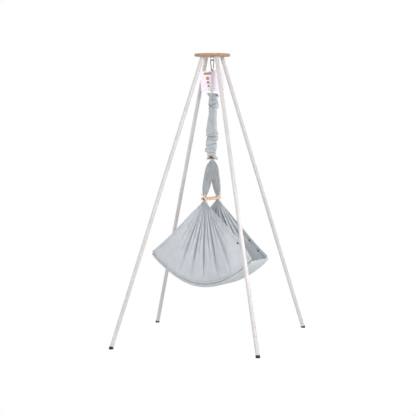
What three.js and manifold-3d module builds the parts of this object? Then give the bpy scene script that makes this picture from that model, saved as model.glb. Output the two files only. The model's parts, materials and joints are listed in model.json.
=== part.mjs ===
// Spring cradle on a four-legged stand: a cloth baby hammock that hangs from a
// wooden top plate on a snap hook, a long link and an extension spring in a
// cloth sleeve, and is held open by a wooden spreader bar.
//
// Millimetres, +Z up. The pieces are built round the hanging axis, with the
// floor at z = 0, and the last lines move the whole group so that the centre
// of the footprint is the origin.

import * as THREE from 'three';
import Module from 'manifold-3d';
import { mergeVertices } from 'three/addons/utils/BufferGeometryUtils.js';

const wasm = await Module();
wasm.setup();

// ---------------------------------------------------------------- sizes

const fit_gap = 0.3;                // between pieces that touch
const run_gap = 0.6;                // beside pieces that move

// Stand
const plate_height = 2034;          // underside of the top plate above the floor
const plate_radius = 128;
const plate_thickness = 18;
const plate_edge_round = 4;
const leg_diameter = 28;
const leg_wall = 1.5;
const leg_top_radius = 82.5;         // leg axes at the plate's underside
const leg_foot_radius = 835;        // leg axes at the floor
const leg_bearings = {              // degrees, anticlockwise from +X
  back_right: 48.9, back_left: 136.2, front_left: 228.3, front_right: 306.5,
};
const leg_split = 1080;             // height of the joint along the leg
const spigot_length = 120;
const leg_plug_length = 32;
const stud_radius = 4;
const stud_length = 8;
const insert_wall = 1.9;
const foot_wall = 1.2;
const foot_height = 17;             // along the leg, from the floor
const foot_floor = 9;               // from the floor to the tube's end

// Eye bolt under the plate
const eye_wire = 5;
const eye_inner_radius = 11;
const eye_turn = 60;                // degrees, of its ring from the cradle's length
const eye_shank_radius = 4;
const eye_collar = { radius: 9.5, height: 4 };
const nut = { across: 13, height: 6.5 };
const washer = { radius: 9, height: 1.6 };
const counterbore_radius = 12;

// Snap hook
const hook_length = 82;
const hook_wire = 6;
const hook_top_radius = 15;         // of the bends' centre lines
const hook_bottom_radius = 7;
const gate_wire = 5.4;
const gate_pivot_rise = 9;          // pivot above the bottom bend's centre
const gate_reach = 38;              // length of the gate above its pivot
const rivet_radius = 1.2;
const tang_thickness = 2;

// Long link, spring and sleeve
const link_wire = 5;
const link_bend_radius = 9.5;
const link_length = 241;            // overall
const spring_wire = 4;
const spring_mean_radius = 22;
const spring_turns = 60;
const spring_pitch = spring_wire + fit_gap;
const plug_height = 26;
const plug_rim = 2;                 // of the plug beyond the coils
const plug_eye = { radius: 8, wire: 5 };
const rope_diameter = 6;
const rope_wave = 7;
const sleeve_wall = 3;
const sleeve_rise = 86;             // above the coils
const sleeve_length = 483;

// Leaflet
const leaflet = { width: 168, height: 146, thickness: 1.2, corner: 4 };
const leaflet_drop = 2;             // below the hook's lower bend
const leaflet_shift = -6;           // of its middle along its own width
const leaflet_offset = 19.5;         // in front of the axis
const leaflet_turn = 30;            // degrees from the cradle's length
const leaflet_tilt = 4.5;
const leaflet_hole = { radius: 2.4, below_top: 10 };
const loop_diameter = 1.6;

// Cradle
const cradle_heading = -14.8;       // degrees, of its length from +X
const ring = { wire: 6, bend: 13, straight: 26 };   // D-ring
const strap = { width: 24, thickness: 2.5, length: 94 };     // below the ring's low bar
const strap_rivet = { radius: 2.5, head_radius: 6, head: 2.2, rise: 13 };
const bar = { length: 220, width: 42, height: 20, slot_width: 18, slot_depth: 34 };
const tail_length = 270;            // of each cloth, from the strap to the bar
const bar_shift = -14;              // the bar stands this far off the axis
const gather_spacing = 190;
const gather_depth = 30;            // of the cloth in each slot
const base_half_length = 428;
const base_half_width = 128;
const cradle_depth = 620;           // from the bar's underside to the base's lowest line
const base_bend = 0.00114;           // rise = base_bend * length^2 - base_lean * length
const base_lean = 0.018;
const base_thickness = 24;
const base_corner = 8;
const base_shift = { length: -21, width: -6 };
const pocket_wall = 2.5;
const cloth_thickness = 4;
const belly = 10;                   // outward curve of each side
// Power of each rim's curve at the bar, and how much it grows to the base:
// under 1 the rim is full, over 1 it is hollow.
const rim_curve = { near: [1.05, -0.45], free: [0.95, 0.3] };
const tie_diameter = 4;
const snap = { radius: 6.5, height: 2.6 };
const snap_along = 0.955;           // of the panel's half length

// ---------------------------------------------------------------- materials

function material(color, roughness, metalness = 0) {
  return new THREE.MeshStandardMaterial({ color, roughness, metalness });
}

const white_enamel = material(0xe9e6e6, 0.35);
const beech = material(0xd9b48c, 0.55);
const black_rubber = material(0x1c1c1e, 0.85);
const zinc_steel = material(0xa9a5a2, 0.35, 0.9);
const brass = material(0xb79a5e, 0.35, 0.9);
const grey_cloth = material(0xbec3c7, 0.9);
const white_foam = material(0xeeeeea, 0.95);
const tan_leather = material(0xc39a72, 0.7);
const pale_card = material(0xece4e8, 0.6);
const dark_brass = material(0x2e2a29, 0.4, 0.7);
const white_rope = material(0xe6e6e2, 0.9);

// ---------------------------------------------------------------- helpers

const degrees = Math.PI / 180;
const vector = (x, y, z) => new THREE.Vector3(x, y, z);

function closed(geometry) {
  const bare = geometry.clone();
  bare.deleteAttribute('normal');
  bare.deleteAttribute('uv');
  return mergeVertices(bare, 1e-4);
}

function manifold(geometry) {
  const merged = closed(geometry);
  return new wasm.Manifold(new wasm.Mesh({
    numProp: 3,
    vertProperties: new Float32Array(merged.attributes.position.array),
    triVerts: new Uint32Array(merged.index.array),
  }));
}

function geometry_of(solid) {
  const mesh = solid.getMesh();
  const geometry = new THREE.BufferGeometry();
  geometry.setAttribute('position', new THREE.BufferAttribute(mesh.vertProperties, 3));
  geometry.setIndex(new THREE.BufferAttribute(mesh.triVerts, 1));
  return geometry;
}

function cut(geometry, ...tools) {
  return geometry_of(tools.reduce((solid, tool) => solid.subtract(manifold(tool)),
    manifold(geometry)));
}

function join(geometry, ...others) {
  return geometry_of(others.reduce((solid, other) => solid.add(manifold(other)),
    manifold(geometry)));
}

function cylinder(radius, low, high, sides = 24) {
  const geometry = new THREE.CylinderGeometry(radius, radius, high - low, sides);
  return geometry.rotateX(90 * degrees).translate(0, 0, (low + high) / 2);
}

function box(x, y, z) {
  return new THREE.BoxGeometry(x, y, z);
}

// Turns a profile of [radius, z] points about Z. It starts and ends on the
// axis, or is closed on itself.
function lathe(profile, sides = 24) {
  const points = profile.map(([radius, z]) => new THREE.Vector2(radius, z));
  return new THREE.LatheGeometry(points, sides).rotateX(90 * degrees);
}

function tube(inner, outer, low, high, sides = 18) {
  return lathe([[inner, low], [outer, low], [outer, high], [inner, high], [inner, low]], sides);
}

function ring_about_y(radius, wire, z, sides = 10, steps = 28) {
  return new THREE.TorusGeometry(radius, wire / 2, sides, steps)
    .rotateX(90 * degrees).translate(0, 0, z);
}

function ring_about_x(radius, wire, z) {
  return ring_about_y(radius, wire, 0).rotateZ(90 * degrees).translate(0, 0, z);
}

// A round bar along an open curve through the points.
function rod(points, diameter, steps, sides = 10) {
  const section = new THREE.Shape();
  for (let i = 0; i < sides; i++) {
    const angle = i / sides * 2 * Math.PI;
    const [x, y] = [diameter / 2 * Math.cos(angle), diameter / 2 * Math.sin(angle)];
    if (i === 0) section.moveTo(x, y);
    else section.lineTo(x, y);
  }
  section.closePath();
  const extrudePath = new THREE.CatmullRomCurve3(points, false, 'centripetal');
  return new THREE.ExtrudeGeometry(section, { steps, extrudePath, bevelEnabled: false });
}

// Skins a row of outlines with equal numbers of points. A closed row bends
// round to its start; an open one has its ends zipped shut.
function loft(outlines, round = false) {
  const count = outlines[0].length;
  const positions = outlines.flat().flatMap((point) => [point.x, point.y, point.z]);
  const index = [];
  const rows = round ? outlines.length : outlines.length - 1;
  for (let row = 0; row < rows; row++) {
    const here = row * count;
    const next = ((row + 1) % outlines.length) * count;
    for (let i = 0; i < count; i++) {
      const j = (i + 1) % count;
      index.push(here + i, here + j, next + j, here + i, next + j, next + i);
    }
  }
  if (!round) {
    const last = (outlines.length - 1) * count;
    for (let i = 0; i < count / 2 - 1; i++) {
      const [a, b, c, d] = [i, i + 1, count - 2 - i, count - 1 - i];
      index.push(a, c, b, a, d, c);
      index.push(last + a, last + b, last + c, last + a, last + c, last + d);
    }
  }
  const geometry = new THREE.BufferGeometry();
  geometry.setAttribute('position', new THREE.Float32BufferAttribute(positions, 3));
  geometry.setIndex(index);
  return outward(geometry);
}

function outward(geometry) {
  const position = geometry.attributes.position;
  const index = geometry.index.array;
  const [a, b, c] = [vector(), vector(), vector()];
  let volume = 0;
  for (let i = 0; i < index.length; i += 3) {
    a.fromBufferAttribute(position, index[i]);
    b.fromBufferAttribute(position, index[i + 1]);
    c.fromBufferAttribute(position, index[i + 2]);
    volume += a.dot(b.cross(c));
  }
  if (volume < 0) geometry.setIndex(Array.from(index).reverse());
  return geometry;
}

// A closed bar of round section along a loop in the XZ plane, given as
// [x, z, x outward, z outward].
function loop_bar(stations, diameter, sides = 10) {
  return loft(stations.map(([x, z, out_x, out_z]) => {
    const outline = [];
    for (let i = 0; i < sides; i++) {
      const angle = i / sides * 2 * Math.PI;
      const out = diameter / 2 * Math.cos(angle);
      outline.push(vector(x + out * out_x, diameter / 2 * Math.sin(angle), z + out * out_z));
    }
    return outline;
  }), true);
}

function arc_stations(x, z, radius, from, to, steps) {
  const stations = [];
  for (let i = 0; i <= steps; i++) {
    const angle = (from + (to - from) * i / steps) * degrees;
    const [c, s] = [Math.cos(angle), Math.sin(angle)];
    stations.push([x + radius * c, z + radius * s, c, s]);
  }
  return stations;
}

const baby_cradle = new THREE.Group();
const hanging = new THREE.Group();          // its X axis is the cradle's length
hanging.rotation.z = cradle_heading * degrees;
baby_cradle.add(hanging);

function add(group, name, geometry, finish) {
  const mesh = new THREE.Mesh(closed(geometry), finish);
  mesh.name = name;
  group.add(mesh);
  return mesh;
}

// ---------------------------------------------------------------- stand

const leg_run = leg_foot_radius - leg_top_radius;
const leg_tilt = Math.atan2(leg_run, plate_height);
const leg_axis_length = plate_height / Math.cos(leg_tilt);
const seat_radius = leg_diameter / 2 + 1;
const seat_z = leg_axis_length + seat_radius * Math.tan(leg_tilt);
const insert_radius = stud_radius + fit_gap + insert_wall;
const insert_length = stud_length + 1;
const tube_inner = leg_diameter / 2 - leg_wall;

// A leg's frame has Z along its axis, from the floor up.
function leg_frame(bearing) {
  const turned = new THREE.Group();
  turned.rotation.z = bearing * degrees;
  const leaning = new THREE.Group();
  leaning.position.x = leg_foot_radius;
  leaning.rotation.y = -leg_tilt;
  turned.add(leaning);
  turned.updateMatrixWorld(true);
  baby_cradle.add(turned);
  return leaning;
}

function top_plate(frames) {
  const top = plate_height + plate_thickness;
  const round = plate_edge_round;
  const edge = (centre, from, to) => [0, 1, 2, 3].map((i) => {
    const angle = (from + (to - from) * i / 3) * degrees;
    return [plate_radius - round + round * Math.cos(angle), centre + round * Math.sin(angle)];
  });
  const disc = lathe([[0, plate_height], ...edge(plate_height + round, -90, 0),
    ...edge(top - round, 0, 90), [0, top]], 40);
  const cuts = [cylinder(eye_shank_radius + run_gap, plate_height - 1, top + 1),
    cylinder(counterbore_radius, top - counterbore_depth, top + 1)];
  for (const frame of frames) {
    const seat = cylinder(seat_radius, seat_z - 60, seat_z);
    const hole = cylinder(insert_radius + fit_gap, seat_z - 1, seat_z + insert_length + 2 * fit_gap);
    cuts.push(seat.applyMatrix4(frame.matrixWorld), hole.applyMatrix4(frame.matrixWorld));
  }
  return cut(disc, ...cuts);
}

function rubber_foot() {
  const outer = leg_diameter / 2 + fit_gap + foot_wall;
  const cap = cylinder(outer, -20, foot_height);
  const socket = cylinder(leg_diameter / 2 + fit_gap, foot_floor - fit_gap, foot_height + 1);
  const floor = box(120, 120, 60).translate(0, 0, -30).rotateY(leg_tilt);
  return cut(cap, socket, floor);
}

function build_leg(name, frame) {
  const core = tube_inner - fit_gap;
  const top = seat_z - fit_gap;
  add(frame, `${name}_foot`, rubber_foot(), black_rubber);
  add(frame, `${name}_lower_tube`,
    tube(tube_inner, leg_diameter / 2, foot_floor, leg_split - fit_gap / 2), white_enamel);
  add(frame, `${name}_upper_tube`,
    tube(tube_inner, leg_diameter / 2, leg_split + fit_gap / 2, top), white_enamel);
  add(frame, `${name}_spigot`, tube(core - leg_wall, core,
    leg_split - spigot_length / 2, leg_split + spigot_length / 2), zinc_steel);
  add(frame, `${name}_top_plug`, lathe([[0, top - leg_plug_length],
    [core, top - leg_plug_length], [core, top], [stud_radius, top],
    [stud_radius, top + stud_length], [0, top + stud_length]]), zinc_steel);
  add(frame, `${name}_insert`, tube(stud_radius + fit_gap, insert_radius,
    seat_z + fit_gap, seat_z + insert_length), brass);
}

const counterbore_depth = washer.height + nut.height + 3 * fit_gap + 1;
const leg_names = Object.keys(leg_bearings);
const frames = leg_names.map((name) => leg_frame(leg_bearings[name]));
add(baby_cradle, 'top_plate', top_plate(frames), beech);
leg_names.forEach((name, i) => build_leg(`${name}_leg`, frames[i]));

// Eye bolt through the plate, with its washer and nut in the counterbore
const eye_radius = eye_inner_radius + eye_wire / 2;
const eye_centre = plate_height - fit_gap - eye_radius - eye_wire / 2;
const washer_low = plate_height + plate_thickness - counterbore_depth + fit_gap;
const nut_low = washer_low + washer.height + fit_gap;
const shank_top = nut_low + nut.height + fit_gap;

const collar_low = plate_height - fit_gap - eye_collar.height;
add(hanging, 'eye_bolt', join(ring_about_y(eye_radius, eye_wire, eye_centre).rotateZ(eye_turn * degrees),
  cylinder(eye_collar.radius, collar_low, plate_height - fit_gap),
  cylinder(eye_shank_radius, plate_height - 2, shank_top)), zinc_steel);
add(hanging, 'eye_washer', tube(eye_shank_radius + fit_gap, washer.radius,
  washer_low, washer_low + washer.height), zinc_steel);
add(hanging, 'eye_nut', cut(
  cylinder(nut.across / 2 / Math.cos(30 * degrees), nut_low, nut_low + nut.height, 6),
  cylinder(eye_shank_radius + fit_gap, nut_low - 1, nut_low + nut.height + 1)), zinc_steel);

// ---------------------------------------------------------------- snap hook

// It hangs over the eye's lowest wire, in the plane along the cradle, with its
// gate at the right.
const eye_low_wire = eye_centre - eye_radius;
const hook_top = eye_low_wire + eye_wire / 2 + fit_gap + hook_wire / 2;
const hook_bottom = hook_top - (hook_length - hook_wire);
const top_bend = hook_top - hook_top_radius;
const bottom_bend = hook_bottom + hook_bottom_radius;
const pivot = { x: hook_bottom_radius, z: bottom_bend + gate_pivot_rise };
const gate_lean = Math.atan2(hook_top_radius - hook_bottom_radius, top_bend - bottom_bend);

function gate_place(geometry) {
  return geometry.rotateY(gate_lean).translate(pivot.x, 0, pivot.z);
}

function snap_hook_frame() {
  const bend = (centre, radius, from, to, steps) => arc_stations(0, centre, radius, from, to, steps)
    .map(([x, z]) => vector(x, 0, z));
  const latch_from = vector(0, 0, gate_reach + run_gap)
    .applyAxisAngle(vector(0, 1, 0), gate_lean).add(vector(pivot.x, 0, pivot.z));
  const path = [latch_from, ...bend(top_bend, hook_top_radius, 12, 168, 10),
    ...bend(bottom_bend, hook_bottom_radius, 186, 360, 9)];
  const body = rod(path, hook_wire, 54);
  const tang = join(box(hook_wire, tang_thickness, gate_pivot_rise + 1)
    .translate(0, 0, -gate_pivot_rise / 2), cylinder(hook_wire / 2, -tang_thickness / 2,
    tang_thickness / 2).rotateX(90 * degrees));
  const pin_hole = cylinder(rivet_radius + fit_gap, -9, 9, 16).rotateX(90 * degrees);
  const seated = gate_place(tang);
  return cut(join(body, seated), gate_place(pin_hole));
}

function snap_hook_gate() {
  const stem = cylinder(gate_wire / 2, -gate_wire / 2, gate_reach, 16);
  const slot = box(2 * gate_wire, tang_thickness + 2 * fit_gap, 14)
    .translate(0, 0, -7 + hook_wire / 2 + run_gap);
  const pin_hole = cylinder(rivet_radius + fit_gap, -9, 9, 16).rotateX(90 * degrees);
  return cut(stem, slot, pin_hole);
}

add(hanging, 'snap_hook_frame', snap_hook_frame(), zinc_steel);
add(hanging, 'snap_hook_gate', gate_place(snap_hook_gate()), zinc_steel);
add(hanging, 'snap_hook_rivet', gate_place(
  cylinder(rivet_radius, -gate_wire / 2, gate_wire / 2, 16).rotateX(90 * degrees)), zinc_steel);

// ---------------------------------------------------------------- long link

// In the plane across the cradle, through the hook's lower bend.

const link_top = hook_bottom + hook_wire / 2 + fit_gap + link_wire / 2;
const link_bottom = link_top - (link_length - link_wire);
add(hanging, 'top_link', loop_bar([
  ...arc_stations(0, link_top - link_bend_radius, link_bend_radius, 0, 180, 10),
  ...arc_stations(0, link_bottom + link_bend_radius, link_bend_radius, 180, 360, 10),
], link_wire).rotateZ(90 * degrees), zinc_steel);

// ---------------------------------------------------------------- spring

// The upper plug's eye hangs in the link; the plugs screw into the coils.
const coil_steps = 6;               // straight chords in each turn
const coil_bore = (spring_mean_radius - spring_wire / 2) * Math.cos(Math.PI / coil_steps);
const plug_radius = coil_bore - fit_gap;
const upper_eye_top = link_bottom + link_wire / 2 + fit_gap + plug_eye.wire / 2;
const upper_eye = upper_eye_top - plug_eye.radius;
const spring_high = upper_eye - plug_eye.radius - plug_rim;
const spring_low = spring_high - spring_turns * spring_pitch - spring_wire;
const lower_eye = spring_low - plug_eye.radius - plug_rim;

function spring_plug(eye_z, up, ring) {
  const face = eye_z - up * plug_eye.radius;
  const [low, high] = [face, face - up * plug_height].sort((a, b) => a - b);
  return join(cylinder(plug_radius, low, high), ring(plug_eye.radius, plug_eye.wire, eye_z));
}

function coil() {
  const steps = spring_turns * coil_steps;
  const sides = 4;
  const outlines = [];
  for (let i = 0; i <= steps; i++) {
    const angle = i / coil_steps * 2 * Math.PI;
    const z = spring_low + spring_wire / 2 + i / steps * spring_turns * spring_pitch;
    const outline = [];
    for (let side = 0; side < sides; side++) {
      const turn = (side + 0.5) / sides * 2 * Math.PI;
      const radius = spring_mean_radius + spring_wire / 2 * Math.cos(turn);
      outline.push(vector(radius * Math.cos(angle), radius * Math.sin(angle),
        z + spring_wire / 2 * Math.sin(turn)));
    }
    outlines.push(outline);
  }
  return capped(outlines);
}

// Skins open outlines with an odd number of points, with a fan on each end.
function capped(outlines) {
  const count = outlines[0].length;
  const positions = outlines.flat().flatMap((point) => [point.x, point.y, point.z]);
  const index = [];
  for (let row = 0; row < outlines.length - 1; row++) {
    for (let i = 0; i < count; i++) {
      const [here, j] = [row * count, (i + 1) % count];
      index.push(here + i, here + j, here + count + j, here + i, here + count + j, here + count + i);
    }
  }
  const last = (outlines.length - 1) * count;
  for (let i = 1; i < count - 1; i++) {
    index.push(0, i + 1, i, last, last + i, last + i + 1);
  }
  const geometry = new THREE.BufferGeometry();
  geometry.setAttribute('position', new THREE.Float32BufferAttribute(positions, 3));
  geometry.setIndex(index);
  return outward(geometry);
}

function safety_rope() {
  const top = upper_eye - plug_eye.radius - plug_height - fit_gap;
  const bottom = lower_eye + plug_eye.radius + plug_height + fit_gap;
  const points = [];
  const steps = 16;
  for (let i = 0; i <= steps; i++) {
    const share = i / steps;
    const wave = rope_wave * Math.sin(share * Math.PI);
    points.push(vector(wave * Math.cos(share * 5 * Math.PI), wave * Math.sin(share * 5 * Math.PI),
      top + (bottom - top) * share));
  }
  return rod(points, rope_diameter, 48, 8);
}

add(hanging, 'spring_top_plug', spring_plug(upper_eye, 1, ring_about_y), zinc_steel);
add(hanging, 'extension_spring', coil(), zinc_steel);
add(hanging, 'safety_rope', safety_rope(), white_rope);
add(hanging, 'spring_bottom_plug', spring_plug(lower_eye, -1, ring_about_x), zinc_steel);

// ---------------------------------------------------------------- sleeve

const sleeve_top = spring_high + sleeve_rise;

// Share of the sleeve's height from its top, and outer radius there.
const sleeve_shape = [
  [0, 37], [0.05, 33], [0.09, 25], [0.13, 30], [0.18, 38], [0.24, 37], [0.28, 29], [0.34, 28],
  [0.42, 29], [0.50, 34], [0.54, 38], [0.60, 44], [0.67, 43], [0.73, 41], [0.80, 42], [0.86, 40],
  [0.90, 30], [0.94, 31], [1, 38],
];

function sleeve() {
  const outer = sleeve_shape.map(([share, radius]) =>
    [radius, sleeve_top - sleeve_length * share]);
  const inner = outer.map(([radius, z]) => [radius - sleeve_wall, z]).reverse();
  return lathe([...outer, ...inner, outer[0]], 20);
}

add(hanging, 'spring_sleeve', outward(closed(sleeve())), grey_cloth);

// ---------------------------------------------------------------- leaflet

const leaflet_top = hook_bottom - leaflet_drop;

// The leaflet's frame: X along its width, Y behind it, turned to the front.
const leaflet_frame = new THREE.Group();
leaflet_frame.rotation.z = leaflet_turn * degrees;
hanging.add(leaflet_frame);

function leaflet_sheet() {
  const { width, height, thickness, corner } = leaflet;
  const [x, y] = [width / 2, height / 2];
  const sheet = new THREE.Shape();
  sheet.moveTo(-x + corner, -y);
  sheet.lineTo(x - corner, -y);
  sheet.absarc(x - corner, -y + corner, corner, -90 * degrees, 0);
  sheet.absarc(x - corner, y - corner, corner, 0, 90 * degrees);
  sheet.absarc(-x + corner, y - corner, corner, 90 * degrees, 180 * degrees);
  sheet.absarc(-x + corner, -y + corner, corner, 180 * degrees, 270 * degrees);
  const slab = new THREE.ExtrudeGeometry(sheet,
    { depth: thickness, bevelEnabled: false, curveSegments: 4 });
  return slab.rotateX(90 * degrees).translate(leaflet_shift, thickness / 2, -y)
    .rotateY(-leaflet_tilt * degrees).translate(0, -leaflet_offset, leaflet_top);
}

// The nearer side of the link, in the leaflet's frame; the hole is in front of it.
const link_side = -link_bend_radius * Math.sin(leaflet_turn * degrees);
const link_front = -link_bend_radius * Math.cos(leaflet_turn * degrees);
const hole_z = leaflet_top - leaflet_hole.below_top + link_side * Math.tan(leaflet_tilt * degrees);
add(leaflet_frame, 'leaflet', cut(leaflet_sheet(),
  cylinder(leaflet_hole.radius, -9, 9, 16).rotateX(90 * degrees)
    .translate(link_side, -leaflet_offset, hole_z)), pale_card);

// An elastic loop: round one side of the link, over the leaflet's top edge
// and back through its hole.
const loop_points = [
  [-0.6, 4.6, 11], [-4.6, 0.4, 12.6], [-2.2, -5.6, 14.2], [-0.6, -11.2, 15.4],
  [0, -13.9, 9.4], [0, -13.6, 2.4], [0.2, -11.2, 0], [1, -7.6, 0.6], [4, -3.6, 5],
  [4.7, 0.4, 9], [1.2, 4.6, 11],
].map(([x, y, z]) => vector(link_side + x, link_front + y, hole_z + z));
add(leaflet_frame, 'leaflet_loop', rod(loop_points, loop_diameter, 36, 5), white_rope);

// ---------------------------------------------------------------- sling hardware

const ring_top = lower_eye - plug_eye.radius + plug_eye.wire / 2 + fit_gap + ring.wire / 2;
const ring_low = ring_top - 2 * ring.bend;
const ring_corner = 6;

function d_ring() {
  const half = ring.straight / 2;
  return loop_bar([
    ...arc_stations(0, ring_top - ring.bend, ring.bend, 0, 180, 12),
    ...arc_stations(-half + ring_corner, ring_low + ring_corner, ring_corner, 180, 270, 4),
    ...arc_stations(half - ring_corner, ring_low + ring_corner, ring_corner, 270, 360, 4),
  ], ring.wire);
}

const strap_inner = ring.wire / 2 + fit_gap;
const strap_bottom = ring_low - strap.length;

// An inverted U of strap over the ring, closed below by the rivet.
function sling_strap() {
  const wrap = strap_inner + strap.thickness;
  const half = Math.min(strap.width / 2, ring.straight / 2 - ring_corner);
  const outer = [];
  const inner = [];
  for (let i = 0; i <= 8; i++) {
    const angle = i / 8 * Math.PI;
    outer.push([wrap * Math.cos(angle), ring_low + wrap * Math.sin(angle)]);
    inner.push([strap_inner * Math.cos(angle), ring_low + strap_inner * Math.sin(angle)]);
  }
  const outline = [[wrap, strap_bottom], ...outer, [-wrap, strap_bottom],
    [-strap_inner, strap_bottom], ...inner.reverse(), [strap_inner, strap_bottom]];
  const shape = new THREE.Shape(outline.map(([y, z]) => new THREE.Vector2(y, z)));
  const neck = new THREE.ExtrudeGeometry(shape, { depth: 2 * half, bevelEnabled: false })
    .rotateX(90 * degrees).rotateZ(90 * degrees).translate(-half, 0, 0);
  const wings = [-1, 1].map((side) => box(strap.width, strap.thickness, strap_neck - strap_bottom)
    .translate(0, side * (strap_inner + strap.thickness / 2), (strap_neck + strap_bottom) / 2));
  return cut(join(neck, ...wings), rivet_hole());
}

const strap_neck = ring_low - ring.wire - 8;     // the strap is full width below this
const rivet_z = strap_bottom + strap_rivet.rise;

function rivet_hole() {
  return cylinder(strap_rivet.radius + fit_gap, -40, 40, 16)
    .rotateX(90 * degrees).translate(0, 0, rivet_z);
}

function sling_rivet() {
  const face = strap_inner + strap.thickness + fit_gap;
  const { radius, head_radius, head } = strap_rivet;
  return lathe([[0, -face - head], [head_radius - 1, -face - head], [head_radius, -face],
    [radius, -face], [radius, face], [head_radius, face], [head_radius - 1, face + head],
    [0, face + head]], 20).rotateX(90 * degrees).translate(0, 0, rivet_z);
}

add(hanging, 'sling_ring', d_ring(), zinc_steel);
add(hanging, 'sling_strap', sling_strap(), tan_leather);
add(hanging, 'sling_rivet', sling_rivet(), dark_brass);

// ---------------------------------------------------------------- spreader bar

const bar_top = strap_bottom - tail_length;
const bar_height = bar_top - bar.height;        // its underside
const base_low = bar_height - cradle_depth;

function spreader_bar() {
  const round = 5;
  const [x, z] = [bar.width / 2 - round, bar.height / 2 - round];
  const outline = new THREE.Shape();
  outline.absarc(x, -z, round, -90 * degrees, 0);
  outline.absarc(x, z, round, 0, 90 * degrees);
  outline.absarc(-x, z, round, 90 * degrees, 180 * degrees);
  outline.absarc(-x, -z, round, 180 * degrees, 270 * degrees);
  const blank = new THREE.ExtrudeGeometry(outline,
    { depth: bar.length, bevelEnabled: false, curveSegments: 4 })
    .rotateX(90 * degrees).translate(0, bar.length / 2, 0);
  const slots = [-1, 1].map((side) => join(
    box(bar.slot_width, bar.slot_depth, 2 * bar.height)
      .translate(0, side * (bar.length / 2 - bar.slot_depth / 2 + 1), 0),
    cylinder(bar.slot_width / 2, -bar.height, bar.height)
      .translate(0, side * (bar.length / 2 - bar.slot_depth + 1), 0)));
  return cut(blank, ...slots).translate(0, bar_shift, (bar_height + bar_top) / 2);
}

add(hanging, 'spreader_bar', spreader_bar(), beech);

// ---------------------------------------------------------------- base

const columns = 12;      // of each cloth side, along the base

// A point of the base: along its length, across it, and above its underside.
function base_point(length, width, rise) {
  const slope = 2 * base_bend * length - base_lean;
  const scale = Math.hypot(1, slope);
  return vector(length - slope * rise / scale + base_shift.length, width + base_shift.width,
    base_low + (base_bend * length - base_lean) * length + rise / scale);
}

// A pad that follows the base, set in from its outside by inset.
function base_pad(inset, from, to) {
  const corner = base_corner - inset;
  const [x, low, high] = [base_half_width - inset, inset, base_thickness - inset];
  const outline = [[-x, (low + high) / 2]];
  for (const [side, level, first] of [[-1, high - corner, 180], [1, high - corner, 90],
    [1, low + corner, 0], [-1, low + corner, -90]]) {
    for (const step of [0, 1, 2]) {
      const angle = (first - 45 * step) * degrees;
      outline.push([side * (x - corner) + corner * Math.cos(angle), level + corner * Math.sin(angle)]);
    }
  }
  outline.push([-x, (low + high) / 2 - 0.5]);
  const step = base_half_length / columns;      // a station under each of the cloths' own
  const lengths = [from];
  for (let i = -columns; i <= columns; i++) {
    if (i * step > from + 1 && i * step < to - 1) lengths.push(i * step);
  }
  lengths.push(to);
  return loft(lengths.map((length) =>
    outline.map(([width, rise]) => base_point(length, width, rise))));
}

const pad_end = base_half_length - pocket_wall;
add(hanging, 'base_pocket', cut(base_pad(0, -base_half_length, base_half_length),
  base_pad(pocket_wall, -base_half_length - 20, pad_end)), grey_cloth);
add(hanging, 'mattress', base_pad(pocket_wall + fit_gap, -base_half_length + 2, pad_end - fit_gap),
  white_foam);

// ---------------------------------------------------------------- cloth sides

const slot_half = bar.slot_width / 2 - run_gap;
const panel_top = bar_height - run_gap - 6;
const gather_width = (side) => bar_shift + side * gather_spacing / 2;

// A station of a cloth's panel: along is from -1 to 1 of its length, share
// is from 0 at the base to 1 under the bar.
function panel_station(side, along, share) {
  const edge = base_point(along * base_half_length, 0, base_thickness + fit_gap);
  if (share === 0) return { x: edge.x, y: panel_foot(side), z: edge.z };
  const open = 1 - share;
  const [power, growth] = side < 0 && along > 0 ? rim_curve.near : rim_curve.free;
  const spread = open ** (1 + (power + growth * open - 1) * Math.abs(along));
  const foot = edge.x * spread;
  return {
    x: foot + slot_half * along * (1 - spread),
    y: panel_foot(side) * open + gather_width(side) * share + side * belly * Math.sin(share * Math.PI),
    z: edge.z * open + panel_top * share,
  };
}

function panel_foot(side) {
  return base_shift.width + side * (base_half_width - 5);
}

// A closed outline round a row of stations, thick across the cradle.
function thickened(stations, thick) {
  const face = (side) => stations.map(({ x, y, z }, i) => {
    const share = 2 * i / (stations.length - 1) - 1;
    return vector(x, y + side * thick / 2 * (1 - 0.5 * share ** 6), z);
  });
  return [...face(-1), ...face(1).reverse()];
}

const along_steps = Array.from({ length: columns + 1 }, (_, i) => 2 * i / columns - 1);

function tail_band(half, thick, y, z) {
  return thickened(along_steps.map((along) => ({ x: half * along, y, z })), thick);
}

// Each side is one cloth: its panel from the base, its gather in the bar's
// slot and its tail up to the strap.
function cloth_side(side) {
  const gather = gather_width(side);
  const panel = [];
  const rows = 10;
  for (let row = 0; row <= rows; row++) {
    const share = row / rows;
    const thick = cloth_thickness + (gather_depth - cloth_thickness) * share ** 5;
    panel.push(thickened(along_steps.map((along) => panel_station(side, along, share)), thick));
  }
  const over = bar_top + run_gap;
  const pinched = strap_inner - 2 * fit_gap;
  const top_y = side * (pinched / 2 + fit_gap);
  const top_half = strap.width / 2 - 1;
  const tail = [
    tail_band(slot_half, gather_depth, gather, bar_height - run_gap),
    tail_band(slot_half, gather_depth, gather, over),
    tail_band(13, 26, gather * 0.97, over + 14),
    tail_band(23, 22, gather * 0.92, over + 38),
    tail_band(33, 19, gather * 0.76, over + 84),
    tail_band(39, 17, gather * 0.58, over + 134),
    tail_band(39, 17, gather * 0.30, over + 206),
    tail_band(22, 9, side * 7, strap_bottom - 18),
    tail_band(top_half, pinched, top_y, strap_bottom - 3),
    tail_band(top_half, pinched, top_y, strap_bottom + 30),
  ];
  return cut(loft([...panel, ...tail]), rivet_hole());
}

add(hanging, 'front_cloth', cloth_side(-1), grey_cloth);
add(hanging, 'back_cloth', cloth_side(1), grey_cloth);

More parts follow.
